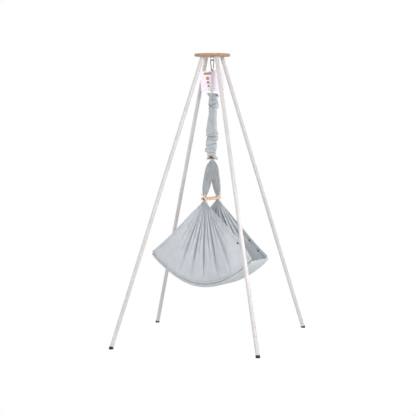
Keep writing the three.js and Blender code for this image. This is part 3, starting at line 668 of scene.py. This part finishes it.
turn_steps = 24
helix = []
for i in range(SPRING["turns"] * turn_steps + 1):
    turn_angle = 2 * math.pi * i / turn_steps
    helix.append((SPRING["radius"] * math.cos(turn_angle), SPRING["radius"] * math.sin(turn_angle),
                  spring_low + SPRING["wire"] / 2 + i / turn_steps * SPRING["pitch"]))
spring = sweep("extension_spring_finish", helix, SPRING["wire"] / 2 - 0.1, ZINC, 8)
stretches(spring, "extension_spring")


def spring_plug(name, eye_z, up):
    """A turned plug with an eye."""
    face = eye_z - up * PLUG["eye"]
    low, high = sorted((face, face - up * PLUG["height"]))
    body = lathe(f"{name}_finish", rounded(plug_radius, low, high, 0.8), ZINC, 56)
    path = arc(0, eye_z, PLUG["eye"], 0, 350, 35)
    ring = sweep("plug_eye", path if up > 0 else turned_to_y(path), PLUG["wire"] / 2, ZINC, 18,
                 loop=True)
    return carve(body, ring, "UNION")


belongs(spring_plug("spring_top_plug", upper_eye, 1), "hanger", "plated_steel", "spring_top_plug")
belongs(spring_plug("spring_bottom_plug", lower_eye, -1), "spring_end", "plated_steel",
        "spring_bottom_plug")

rope_top = upper_eye - PLUG["eye"] - PLUG["height"] - GAP
rope_low = lower_eye + PLUG["eye"] + PLUG["height"] + GAP
rope_points = []
for i in range(97):
    share = i / 96
    wave = 7 * math.sin(share * math.pi)
    rope_points.append((wave * math.cos(share * 5 * math.pi), wave * math.sin(share * 5 * math.pi),
                        rope_top + (rope_low - rope_top) * share))
rope = sweep("safety_rope_finish", rope_points, 2.9, CORD, 12)
stretches(rope, "safety_rope")

# ------------------------------------------------------------------ ring, strap and rivet

RING = {"wire": 6, "bend": 13, "straight": 26, "corner": 6}
ring_top = lower_eye - PLUG["eye"] + PLUG["wire"] / 2 + GAP + RING["wire"] / 2
ring_low = ring_top - 2 * RING["bend"]
ring_half = RING["straight"] / 2
ring_path = [*arc(0, ring_top - RING["bend"], RING["bend"], 0, 180, 24),
             *arc(-ring_half + RING["corner"], ring_low + RING["corner"], RING["corner"], 180, 270, 8),
             *arc(ring_half - RING["corner"], ring_low + RING["corner"], RING["corner"], 270, 360, 8)]
ring_path = [p for i, p in enumerate(ring_path)
             if (Vector(p) - Vector(ring_path[i - 1])).length > 0.01]
d_ring = sweep("sling_ring_finish", ring_path, RING["wire"] / 2, ZINC, 18, loop=True)
belongs(d_ring, "cradle", "plated_steel", "sling_ring")

strap_inner = RING["wire"] / 2 + GAP
strap_mid = strap_inner + STRAP["thickness"] / 2
neck_low = ring_low - RING["wire"] - 8
section = []                                     # (y, z, half width) along the strap
for z in np.linspace(STRAP["bottom"], neck_low - 4, 7):
    section.append((strap_mid, z, STRAP["width"] / 2))
section.append((strap_mid, neck_low + 6, 7.4))
section += [(strap_mid * math.cos(a), ring_low + strap_mid * math.sin(a), 7)
            for a in np.linspace(0, math.pi, 13)]
section.append((-strap_mid, neck_low + 6, 7.4))
for z in np.linspace(neck_low - 4, STRAP["bottom"], 7):
    section.append((-strap_mid, z, STRAP["width"] / 2))
strap_points = [(x * half, y, z) for y, z, half in section for x in np.linspace(-1, 1, 9)]
strap = piece("sling_strap_finish", strap_points, grid(len(section), 9), LEATHER, weld=False)
modify(strap, "SOLIDIFY", thickness=STRAP["thickness"] * MM, offset=0)
modify(strap, "BEVEL", width=0.6 * MM, segments=2, limit_method="ANGLE")
RIVET_PLACE = Matrix.Translation((0, 0, STRAP["rivet"])) @ AROUND_Y
drill(strap, 2.8, -30, 30, RIVET_PLACE)
belongs(strap, "cradle", "leather", "sling_strap")

rivet_face = strap_inner + STRAP["thickness"] + GAP
half_rivet = [(2.5, 0), (2.5, rivet_face), (6, rivet_face), (6, rivet_face + 0.5),
              (5.2, rivet_face + 1.6), (3.4, rivet_face + 2.2), (3.0, rivet_face + 1.6),
              (1.6, rivet_face + 1.4), (0, rivet_face + 1.4)]
rivet = lathe("sling_rivet_finish", [(r, -z) for r, z in half_rivet[::-1]] + half_rivet[1:],
              DARK_BRASS, 40, RIVET_PLACE)
belongs(rivet, "cradle", "dark_metal", "sling_rivet")

# ------------------------------------------------------------------ leaflet

LEAFLET = {"width": 168, "height": 146, "shift": -6, "front": 19.5, "tilt": 4.5, "turn": 30,
           "hole_down": 10}
leaflet_top = hook_low - 2
link_side = -LINK["bend"] * math.sin(math.radians(LEAFLET["turn"]))
link_front = -LINK["bend"] * math.cos(math.radians(LEAFLET["turn"]))
LEAFLET_PLACE = (Matrix.Rotation(math.radians(LEAFLET["turn"]), 4, "Z")
                 @ Matrix.Translation((0, -LEAFLET["front"], leaflet_top))
                 @ Matrix.Rotation(math.radians(-LEAFLET["tilt"]), 4, "Y"))


def card_bow(x, z):
    """How far the card's face stands forward: folded once down its middle, so
    that both leaves lean back a little, and bowed towards its free corners."""
    away = abs(x - LEAFLET["shift"])
    lean = 0.09 if x > LEAFLET["shift"] else 0.03
    return 1.2 - lean * away - 1.2 * ease(away / 84) * ease(-z / 146)


def card_patch(name, outline, lift, material):
    """A flat printed patch, or a leaf of card, from an outline in (x, z)."""
    count = 24
    low_x, high_x = min(p[0] for p in outline), max(p[0] for p in outline)
    low_z, high_z = min(p[1] for p in outline), max(p[1] for p in outline)
    work = bmesh.new()
    face = work.faces.new([work.verts.new((x, 0, z)) for x, z in outline])
    for step in range(1, count):
        for normal, low, high in (((1, 0, 0), low_x, high_x), ((0, 0, 1), low_z, high_z)):
            level = low + (high - low) * step / count
            point = (level, 0, 0) if normal[0] else (0, 0, level)
            bmesh.ops.bisect_plane(work, geom=work.verts[:] + work.edges[:] + work.faces[:],
                                   plane_co=point, plane_no=normal)
    for vert in work.verts:
        x, z = vert.co.x, vert.co.z
        vert.co = LEAFLET_PLACE @ Vector((x, -card_bow(x, z) - lift, z))
        vert.co = HANGING @ vert.co
    mesh = bpy.data.meshes.new(name)
    work.to_mesh(mesh)
    work.free()
    made = bpy.data.objects.new(name, mesh)
    bpy.context.scene.collection.objects.link(made)
    mesh.materials.append(material)
    shade(made, 60)
    return made


def round_box(x, z, width, height, corner, steps=6):
    """An outline with rounded corners, about (x, z)."""
    outline = []
    for sx, sz, first in ((1, -1, -90), (1, 1, 0), (-1, 1, 90), (-1, -1, 180)):
        for i in range(steps + 1):
            angle = math.radians(first + 90 * i / steps)
            outline.append((x + sx * (width / 2 - corner) + corner * math.cos(angle),
                            z + sz * (height / 2 - corner) + corner * math.sin(angle)))
    return outline


card = card_patch("leaflet_finish", round_box(LEAFLET["shift"], -LEAFLET["height"] / 2,
                                              LEAFLET["width"], LEAFLET["height"], 4), 0, CARD)
modify(card, "SOLIDIFY", thickness=1.2 * MM, offset=0)
hole_z = leaflet_top - LEAFLET["hole_down"] + link_side * math.tan(math.radians(LEAFLET["tilt"]))
TURN = Matrix.Rotation(math.radians(LEAFLET["turn"]), 4, "Z")
drill(card, 2.4, -9, 9, TURN @ Matrix.Translation((link_side, -LEAFLET["front"], hole_z)) @ AROUND_Y)
belongs(card, "hanger", "card", "leaflet")

# A generic print, a bar over a column of three spots: x, z, width, height, corner
PRINTS = {"bar": (-36, -18, 54, 16, 4), "spot": (-38, -52, 24, 24, 12),
          "middle_spot": (-37, -82, 20, 20, 10), "low_spot": (-36, -107, 16, 16, 8)}
PRINT_LIFT, INK_THICKNESS = 0.75, 0.12
for print_name, box in PRINTS.items():
    mark = card_patch(f"leaflet_print_{print_name}", round_box(*box), PRINT_LIFT, PRINT)
    modify(mark, "SOLIDIFY", thickness=INK_THICKNESS * MM, offset=0)
    belongs(mark, "hanger", "card")

loop_points = [(-0.6, 4.6, 11), (-4.6, 0.4, 12.6), (-2.2, -5.6, 14.2), (-0.6, -11.2, 15.4),
               (0, -13.9, 9.4), (0, -13.6, 2.4), (0.2, -11.2, 0), (1, -7.6, 0.6), (4, -3.6, 5),
               (4.7, 0.4, 9), (1.2, 4.6, 11)]
loop_path = [TURN @ Vector((link_side + x, link_front + y, hole_z + z)) for x, y, z in loop_points]
elastic = sweep("leaflet_loop_finish", smooth_path(loop_path, 90), 0.8, CORD, 10)
belongs(elastic, "hanger", "cord", "leaflet_loop")

# ------------------------------------------------------------------ sleeve

# Height, radius, and how far its middle stands right of the axis
TO_RIGHT = (0.866, 0.5)          # direction of that lean, 30 degrees from the cradle's length
SLEEVE_SHAPE = [
    (1294, 33, 0), (1306, 30, 0), (1325, 29, -3), (1335, 33, -6), (1345, 39, -9), (1362, 41.5, -11),
    (1385, 41, -8), (1401, 40.5, -5), (1420, 42, -4), (1437, 43, -2), (1455, 45.5, 1), (1475, 44, 0),
    (1500, 42, -2), (1517, 38.5, -4), (1545, 35.5, -2), (1575, 32.5, 0), (1610, 30, 2), (1640, 28, 4),
    (1652, 29.5, 6), (1668, 36, 9), (1690, 39, 11), (1705, 34, 9), (1716, 37, 9), (1726, 32, 8),
    (1735, 27, 7), (1748, 28, 6), (1762, 34, 6), (1777, 37, 6),
]


# Creases round the sleeve: height, rise to the right, depth, width
CREASES = [(1724, 5, 10, 4), (1693, 17, 9, 4), (1669, -14, 12, 4.5), (1646, 8, 5, 4), (1488, 13, 5, 5),
           (1462, 6, 16, 5), (1438, -8, 13, 4.5), (1404, 14, 9, 4.5), (1378, -10, 7, 4.5),
           (1347, 5, 12, 4.5)]
FACING = math.radians(-60)       # the sleeve's front, seen from the cradle's long side


def sleeve_point(angle, share):
    z = SLEEVE["bottom"] + (SLEEVE["top"] - SLEEVE["bottom"]) * share
    radius, right = between(SLEEVE_SHAPE, z)
    cx, cy = math.cos(angle), math.sin(angle)
    for number, (level, rise, depth, width) in enumerate(CREASES):
        wander = 5 * ripple(1.6 * cx, 1.6 * cy, number * 3.1)
        off = (z - level - rise * math.sin(angle - FACING) - wander) / width
        strength = 0.72 + 0.5 * ripple(1.1 * cx + 7, 1.1 * cy, number * 1.7)
        radius -= 1.5 * depth * strength * math.exp(-off * off)
        radius += 0.22 * depth * math.exp(-((off - 2.1) / 1.2) ** 2)
    radius += 0.8 * math.sin(9 * angle + 3 * ripple(cx, cy, z / 90))
    radius += 2.2 * ripple(1.5 * cx, 1.5 * cy, z / 40)
    # Both mouths are drawn in and then stand out in ruffles.
    for edge, reach in ((SLEEVE["top"], 44), (SLEEVE["bottom"], 36)):
        near = ease(1 - abs(z - edge) / reach)
        ruffle = math.sin(7 * angle + 5 * ripple(2 * cx, 2 * cy, edge / 100))
        radius += near * (9 * ruffle + 3 * ripple(cx * 2, cy * 2, z / 12))
    low_edge = ease(1 - (z - SLEEVE["bottom"]) / 40)
    high_edge = ease(1 - (SLEEVE["top"] - z) / 36)
    # The low edge is raised at the front, and the top edge dips at the right.
    front = max(0.0, math.cos(angle + math.radians(75)))
    right_side = max(0.0, math.cos(angle - FACING - math.radians(50)))
    z += low_edge * (22 * front ** 2 + 7 * (0.5 + ripple(cx * 2.4, cy * 2.4, 7)))
    z -= high_edge * (24 * right_side ** 3 + 9 * (0.5 + ripple(cx * 2.2, cy * 2.2, 3)))
    radius = max(radius, SLEEVE["least"])
    return (right * TO_RIGHT[0] + radius * cx, right * TO_RIGHT[1] + radius * cy, z)


SLEEVE_AROUND, SLEEVE_ROWS = 128, 260
sleeve_points, sleeve_uv = [], []
for row in range(SLEEVE_ROWS):
    for column in range(SLEEVE_AROUND):
        angle = 2 * math.pi * column / SLEEVE_AROUND
        sleeve_points.append(sleeve_point(angle, row / (SLEEVE_ROWS - 1)))
        sleeve_uv.append((0.24 * column / SLEEVE_AROUND, 0.483 * row / (SLEEVE_ROWS - 1)))
sleeve = piece("spring_sleeve_finish", sleeve_points, grid(SLEEVE_ROWS, SLEEVE_AROUND, wrap=True),
               CLOTH, uv=sleeve_uv, smooth=180, weld=False)
modify(sleeve, "SOLIDIFY", thickness=1.1 * MM, offset=-1)
stretches(sleeve, "spring_sleeve")

# ------------------------------------------------------------------ cradle: shapes shared


def base_point(length, width, rise):
    """A point of the base: along its curve, across it, above its underside."""
    slope = 2 * BASE["bend"] * length - BASE["lean"]
    scale = math.hypot(1, slope)
    return Vector((length - slope * rise / scale + BASE["shift_x"], width + BASE["shift_y"],
                   BASE["low"] + (BASE["bend"] * length - BASE["lean"]) * length + rise / scale))


NEAR_RIM, FREE_RIM = (1.05, -0.45), (0.95, 0.3)     # power of each rim's curve, and its growth
SLOT_HALF = BAR["slot"] / 2 - 0.6
PANEL_TOP = BAR["low"] - 6.6
# Pleats: where each meets the base, its width, its depth and how far down it runs
FOLDS = [(-0.9, 0.03, 8, 0.5), (-0.78, 0.035, 10, 0.75), (-0.64, 0.035, 12, 0.8),
         (-0.51, 0.04, 19, 1.0), (-0.38, 0.03, 13, 0.7), (-0.235, 0.04, 22, 1.0),
         (-0.11, 0.03, 15, 0.75), (0.03, 0.035, 24, 1.0), (0.13, 0.028, 14, 0.6),
         (0.23, 0.03, 15, 0.8), (0.36, 0.04, 22, 1.0), (0.49, 0.03, 13, 0.7), (0.61, 0.04, 17, 1.0),
         (0.75, 0.03, 11, 0.65), (0.87, 0.03, 9, 0.6)]


def gather_width(side):
    return BAR["shift"] + side * GATHER_SPACING / 2


def panel_station(side, a, share):
    """The cloth's middle surface, smooth: a from -1 to 1, share up from the base."""
    edge = base_point(a * BASE["half"], 0, BASE["thickness"] + GAP)
    open_share = 1 - share
    power, growth = NEAR_RIM if side < 0 < a else FREE_RIM
    spread = open_share ** (1 + (power + growth * open_share - 1) * abs(a)) if open_share > 0 else 0.0
    foot = BASE["shift_y"] + side * (BASE["width"] - 5)
    return Vector((edge.x * spread + SLOT_HALF * a * (1 - spread),
                   foot * open_share + gather_width(side) * share
                   + side * 10 * math.sin(share * math.pi),
                   edge.z * open_share + PANEL_TOP * share))


def fold_depth(side, a, share):
    """How far the cloth stands out (+) or in (-) from its smooth surface."""
    mirror = a if side < 0 else -a * 0.93 + 0.03
    valleys = 0.0
    for place, width, depth, run in FOLDS:
        drift = place + 0.012 * math.sin(9 * place + 5 * share)
        off = abs(mirror - drift) / (width * (0.75 + share * share))
        reach = ease((share - (1 - run)) / 0.45 + 0.12) if share < 1 else 1.0
        valleys += depth * reach * math.exp(-off ** 1.35)
    swell = 4.0 * ripple(mirror * 2.6 + 4, share * 1.4, 2 + side) * math.sin(math.pi * min(1, share
                                                                                  * 1.15))
    foot = ease(share / 0.06)
    bundle = ease((share - 0.9) / 0.1)
    pleats = math.cos(2 * math.pi * (5.5 * mirror + 0.25 * ripple(mirror * 3, 0, 1)))
    near_top = 1.25 - 0.35 * ease((share - 0.5) / 0.45)
    return ((swell - valleys * near_top * foot) * (1 - bundle)
            + bundle * pleats * (GATHER_DEPTH / 2 - 2) * 0.92)


# ------------------------------------------------------------------ base


def base_outline(inset, narrow=1.0):
    """Half-round-cornered section of the pad: (width, rise) round its edge."""
    half, low, high, corner = BASE["width"] - inset, inset, BASE["thickness"] - inset, 7 - inset / 2
    outline = []
    for sx, level, first in ((1, low + corner, -90), (1, high - corner, 0), (-1, high - corner, 90),
                             (-1, low + corner, 180)):
        for i in range(4):
            angle = math.radians(first + 90 * i / 3)
            outline.append((sx * (half - corner) + corner * math.cos(angle),
                            (level + corner * math.sin(angle) - BASE["thickness"] / 2) * narrow
                            + BASE["thickness"] / 2))
    return outline


def pad(name, inset, material, tip=0.7):
    """A closed pad along the base, with ends that thin towards the tips."""
    rows, count = [], 72
    for i in range(count + 1):
        length = (2 * i / count - 1) * (BASE["half"] - inset)
        near_end = ease((BASE["half"] - abs(length)) / 36)
        narrow = tip + (1 - tip) * near_end
        pulled = 1 - 0.02 * (1 - near_end)
        rows.append([base_point(length, width * pulled, rise)
                     for width, rise in base_outline(inset, narrow)])
    dense = []
    for outline in rows:                          # points across the wide faces
        ring = []
        for k, point in enumerate(outline):
            after = outline[(k + 1) % len(outline)]
            steps = 28 if (after - point).length > 60 else 1
            ring += [point.lerp(after, j / steps) for j in range(steps)]
        dense.append(ring)
    points = [p for ring in dense for p in ring]
    faces = grid(len(dense), len(dense[0]), wrap=True, caps=True)
    return piece(name, points, faces, material, smooth=180)


def swell(made, pressure, cap, voxel=5):
    """Blows the pad up as stuffed cloth, moving no point further than cap."""
    modify(made, "REMESH", mode="VOXEL", voxel_size=voxel * MM)
    rest = [v.co.copy() for v in made.data.vertices]
    cloth = made.modifiers.new("cloth", "CLOTH")
    cloth.settings.quality = 6
    cloth.settings.mass = 0.3
    cloth.settings.use_pressure = True
    cloth.settings.uniform_pressure_force = pressure
    cloth.settings.tension_stiffness = 12
    cloth.settings.compression_stiffness = 12
    cloth.settings.effector_weights.gravity = 0
    scene = bpy.context.scene
    for step in range(1, 21):
        scene.frame_set(step)
    apply_modifiers(made)
    scene.frame_set(1)
    for vert, start in zip(made.data.vertices, rest):
        moved = vert.co - start
        if moved.length > cap * MM:
            vert.co = start + moved * (cap * MM / moved.length)
    return made


base = pad("base_pocket_finish", 2.0, PAD_CLOTH)
swell(base, 4.0, 5)
shade(base, 180)
belongs(base, "cradle", "cotton", "base_pocket")

mattress = pad("mattress_finish", 7.5, FOAM, 0.6)
belongs(mattress, "cradle", "foam", "mattress")

# ------------------------------------------------------------------ cloth sides

bar_top = BAR["low"] + BAR["height"]
# Height, half width, depth of the folds and where the tail's middle stands (share of the gather)
TAIL = [(1000, 8.4, 13, 1.0), (1027.6, 8.4, 13, 1.0), (1040, 15, 10, 0.97), (1062, 25, 9, 0.92),
        (1106, 33, 8.5, 0.76), (1150, 36, 8, 0.58), (1228, 36, 6.5, 0.34), (1262, 31, 4.5, 0.2),
        (1281, 21, 2.2, 0.07)]
TAIL_TOP = STRAP["bottom"] + 30
PINCH = 2 * strap_inner - 0.6
MEET, NECK = 1262, 1281          # heights where both tails come together and enter the strap
NECK_HALF, NECK_SIDE = 21, 7.6   # half width and place across, at the neck


def tail_point(side, a, z):
    if z > NECK:
        rest = ease((z - NECK) / 14)
        half = NECK_HALF + (STRAP["width"] / 2 - 1 - NECK_HALF) * rest
        y = side * (NECK_SIDE + (PINCH / 4 + 0.2 - NECK_SIDE) * rest)
        fold = (0.9 - 0.7 * rest) * math.cos(2 * math.pi * 4.5 * a)
        return Vector((half * a, y + fold * 0.8, z))
    half, depth, closeness = between(TAIL, z)
    middle = gather_width(side) * closeness
    if z > MEET:
        middle += (side * NECK_SIDE - middle) * ease((z - MEET) / (NECK - MEET))
    turn = 3.5 * a + 0.25 * ripple(a * 3, 0, 1) + 0.25 * math.sin(z / 70 + side)
    fold = math.cos(2 * math.pi * turn)
    soft = ripple(a * 2.2, z / 80, 5 + side)
    middle += depth * (0.75 * fold + 0.5 * soft) * (1 - 0.35 * a * a)
    return Vector((half * a * (1 + 0.05 * soft), middle, z))


COLUMNS, PANEL_ROWS, TAIL_ROWS = 169, 96, 84


def cloth_point(side, a, s):
    """s runs from 0 at the base to 1 at the bar and on to 2 at the strap."""
    if s <= 1:
        point = panel_station(side, a, s)
        point.y += side * fold_depth(side, a, s)
        return point
    z = PANEL_TOP + (TAIL_TOP - PANEL_TOP) * (s - 1)
    return tail_point(side, a, z)


def cloth_side(side, name):
    heights = [i / PANEL_ROWS for i in range(PANEL_ROWS + 1)]
    heights += [1 + i / TAIL_ROWS for i in range(1, TAIL_ROWS + 1)]
    steps = [2 * c / (COLUMNS - 1) - 1 for c in range(COLUMNS)]
    points, uv = [], []
    for s in heights:
        v = 0.62 * s if s <= 1 else 0.62 + 0.33 * (s - 1)
        for a in steps:
            points.append(cloth_point(side, a, s))
            uv.append((0.46 * a, v))
    made = piece(f"{name}_finish", points, grid(len(heights), COLUMNS), CLOTH, uv=uv, smooth=180,
                 weld=False)
    modify(made, "SOLIDIFY", thickness=1.0 * MM, offset=0)
    return made


def band(name, side, rows, columns, thickness):
    """A narrow strip that wraps the cloth: rows are (a, s, a, s) of its edges."""
    points, uv, travelled = [], [], 0
    for i, (a0, s0, a1, s1) in enumerate(rows):
        inner, outer = cloth_point(side, a0, s0), cloth_point(side, a1, s1)
        if i:
            travelled += (outer - last).length
        last = outer
        for k in range(columns):
            share = k / (columns - 1)
            points.append(cloth_point(side, a0 + (a1 - a0) * share, s0 + (s1 - s0) * share))
            uv.append((0.02 * share, travelled * MM))
    made = piece(name, points, grid(len(rows), columns), HEM_CLOTH, uv=uv, smooth=180, weld=False)
    modify(made, "SOLIDIFY", thickness=thickness * MM, offset=0)
    return made


def stitches(name, side, path, length=6.0, gap=2.6, lift=1.3):
    """A row of short threads along a path of (a, s), on the cloth's outer face."""
    spots = [cloth_point(side, a, s) for a, s in path]
    travelled = np.concatenate([[0], np.cumsum([(q - p).length for p, q in zip(spots, spots[1:])])])
    columns = np.array([tuple(p) for p in spots])
    points, faces, uv = [], [], []
    start = 2.0
    while start + length < travelled[-1]:
        for face in (-1, 1):
            marks = [Vector([float(np.interp(start + length * t, travelled, columns[:, k]))
                             for k in range(3)]) for t in (0, 0.5, 1)]
            for mark, rise in zip(marks, (0.1, 0.45, 0.1)):
                mark.y += face * (lift + rise)
            along_thread = (marks[2] - marks[0]).normalized()
            sideways = along_thread.cross(Vector((0, 1, 0))).normalized()
            first = len(points)
            for i, mark in enumerate(marks):
                for k in range(5):
                    angle = 2 * math.pi * k / 5
                    points.append(mark + 0.45 * (math.cos(angle) * sideways
                                                 + math.sin(angle) * Vector((0, 1, 0))))
                    uv.append((0.001 * k, 0.003 * i))
            faces += [tuple(first + k for k in face_points)
                      for face_points in grid(3, 5, wrap=True, caps=True)]
        start += length + gap
    return piece(name, points, faces, THREAD, uv=uv)


RIM_STEPS = [0.005 + 0.84 * i / 60 for i in range(61)]
HEM = 0.042
for side, cloth_name in ((-1, "front_cloth"), (1, "back_cloth")):
    panel = cloth_side(side, cloth_name)
    belongs(panel, "cradle", "cotton", cloth_name)
    extras = []
    for end, end_name in ((-1, "left"), (1, "right")):
        hem = band(f"{cloth_name}_{end_name}_hem", side,
                   [(end * (1 - HEM * (1 + 0.8 * s)), s, end * 1.004, s) for s in RIM_STEPS], 7, 2.4)
        thread = stitches(f"{cloth_name}_{end_name}_stitches", side,
                          [(end * (1 - (HEM - 0.008) * (1 + 0.8 * s)), s) for s in RIM_STEPS])
        extras += [hem, thread]
    foot_hem = band(f"{cloth_name}_foot_hem", side,
                    [(a, 0.03, a, -0.002) for a in np.linspace(-1, 1, 121)], 5, 2.2)
    foot_thread = stitches(f"{cloth_name}_foot_stitches", side,
                           [(a, 0.024) for a in np.linspace(-0.99, 0.99, 160)])
    extras += [foot_hem, foot_thread]
    for extra in extras:
        belongs(extra, "cradle", "cotton")

# ------------------------------------------------------------------ spreader bar and laces

bar_y = BAR["shift"]
bar_middle = BAR["low"] + BAR["height"] / 2


def bar_blank():
    """The bar before its slots: rounded edges, and ends that are eased."""
    rows = []
    stations = [(-110, 0.78), (-109, 0.9), (-107, 0.97), (-103, 1), (103, 1), (107, 0.97),
                (109, 0.9), (110, 0.78)]
    for y, scale in stations:
        outline = round_box(0, 0, BAR["width"] * (0.6 + 0.4 * scale), BAR["height"] * scale,
                            5.5 * scale, 5)
        rows.append([(x, y + bar_y, z + bar_middle) for x, z in outline])
    faces = grid(len(rows), len(rows[0]), wrap=True, caps=True)
    return piece("spreader_bar_finish", [p for row in rows for p in row], faces, BAR_BEECH)


spreader = bar_blank()
for side in (-1, 1):
    slot_end = side * (BAR["length"] / 2 - BAR["depth"] + 1) + bar_y
    mouth = side * (BAR["length"] / 2 + 4) + bar_y
    half_slot = BAR["slot"] / 2
    outline = [(half_slot * math.cos(a), slot_end - side * half_slot * math.sin(a))
               for a in np.linspace(0, math.pi, 13)]
    outline += [(-half_slot, mouth), (half_slot, mouth)]
    points = [(x, y, z) for z in (BAR["low"] - 5, bar_top + 5) for x, y in outline]
    faces = grid(2, len(outline), wrap=True, caps=True)
    carve(spreader, piece("slot_tool", points, faces, BAR_BEECH))
modify(spreader, "BEVEL", width=0.8 * MM, segments=2, limit_method="ANGLE",
       angle_limit=math.radians(50))
shade(spreader, 50)
belongs(spreader, "cradle", "beech", "spreader_bar")

LACE_HEIGHT = bar_top + 3.6


def lace(side, name):
    """A flat leather lace round the gather, on top of the bar, with a knot
    outside and two short loops and ends."""
    middle = gather_width(side)
    ring = [(15.5 * math.cos(a), middle + 20 * math.sin(a), LACE_HEIGHT + 0.8 * math.sin(3 * a))
            for a in np.linspace(0, 2 * math.pi, 48, endpoint=False)]
    made = sweep(f"{name}_finish", ring, 2.4, LACE, 10, loop=True)
    belongs(made, "cradle", "leather", name)
    out = middle + side * 21
    parts = []
    knot = [(5 * math.cos(a), out + side * 1.4 + 2.2 * math.sin(a), LACE_HEIGHT + 2.4 * math.sin(2 * a))
            for a in np.linspace(0, 2 * math.pi, 32, endpoint=False)]
    parts.append(sweep(f"{name}_knot", knot, 2.8, LACE, 10, loop=True))
    for number, (lean, height, width) in enumerate(((-1, 22, 8), (1, 17, 8))):
        loop = []
        for a in np.linspace(0, math.pi, 20):
            loop.append((lean * (6 + 9 * math.sin(a)) - width * math.cos(a) * 0.5,
                         out + side * 1.5, LACE_HEIGHT + 2 + height * math.sin(a)))
        parts.append(sweep(f"{name}_loop_{number}", smooth_path(loop, 40), 2.4, LACE, 8,
                           flatten=0.6))
    for number, (lean, drop) in enumerate(((-1, -14), (1, 24 if side > 0 else -12))):
        end = [(0, out + side * 2, LACE_HEIGHT), (lean * 8, out + side * 3, LACE_HEIGHT + 1),
               (lean * 15, out + side * 3, LACE_HEIGHT + drop * 0.5),
               (lean * 20, out + side * 2.5, LACE_HEIGHT + drop)]
        parts.append(sweep(f"{name}_end_{number}", smooth_path(end, 30), 2.2, LACE, 8, flatten=0.5))
    for part in parts:
        belongs(part, "cradle", "leather")


lace(-1, "front_tie")
lace(1, "back_tie")

# ------------------------------------------------------------------ snap fasteners

SNAP_ALONG = 0.955
SNAP_SHARES = {"upper": 0.31, "lower": 0.13}
SNAP_PROFILE = [(0, 0.4), (5.4, 0.4), (6.2, 0.7), (6.5, 1.3), (6.3, 2.0), (5.4, 2.7), (4.4, 3.0),
                (3.6, 2.7), (3.0, 2.2), (1.6, 2.05), (0, 2.0)]
for side, cloth_name in ((-1, "front"), (1, "back")):
    for level, share in SNAP_SHARES.items():
        spot = panel_station(side, SNAP_ALONG, share)
        place = Matrix.Translation(spot + Vector((0, -1.3, 0))) @ AROUND_Y
        cap = lathe(f"{cloth_name}_snap_{level}_finish", SNAP_PROFILE, DARK_BRASS, 40, place)
        belongs(cap, "cradle", "dark_metal", f"{cloth_name}_snap_{level}")

# ------------------------------------------------------------------ studio


def backdrop():
    """A lit white sweep: it gives its own light, so that it stays an even white
    without shadows."""
    return surface("white_sweep", Roughness=1.0, Specular_IOR_Level=0, Base_Color=linear("000000"),
                   Emission_Color=linear("FFFFFF"), Emission_Strength=1.0)[0]


bpy.ops.mesh.primitive_plane_add(size=120, location=(0, 0, 0))
floor = bpy.context.object
floor.name = "floor"
floor.data.materials.append(backdrop())

# The room: white behind the swing, dimmer on the near side
world = bpy.data.worlds.new("studio")
bpy.context.scene.world = world
world.use_nodes = True
room = world.node_tree
room.nodes["Background"].inputs["Color"].default_value = (1, 1, 1, 1)
direction = add(room, "SeparateXYZ", {0: add(room, "TexCoord").outputs["Generated"]})
room_light = add(room, "MapRange", {"Value": direction.outputs["Y"], "From Min": -0.35,
                                    "From Max": 0.45, "To Min": 0.46, "To Max": 1.0})
room.links.new(room_light.outputs["Result"], room.nodes["Background"].inputs["Strength"])


def lamp(name, spot, target, size, power):
    data = bpy.data.lights.new(name, "AREA")
    data.size = size
    data.energy = power
    made = bpy.data.objects.new(name, data)
    made.location = spot
    aim = Vector(target) - Vector(spot)
    made.rotation_euler = aim.to_track_quat("-Z", "Y").to_euler()
    bpy.context.scene.collection.objects.link(made)


lamp("key", (4.05, -4.85, 3.4), (0, 0, 0.9), 1.4, 235)
lamp("fill", (-4.5, -3.5, 2.5), (0, 0, 1.0), 2.5, 85)
# A weak lamp in the open end stands for what the white room throws back in there
lamp("inside", at(900, -350, 850), at(260, 100, 640), 0.4, 1.4)
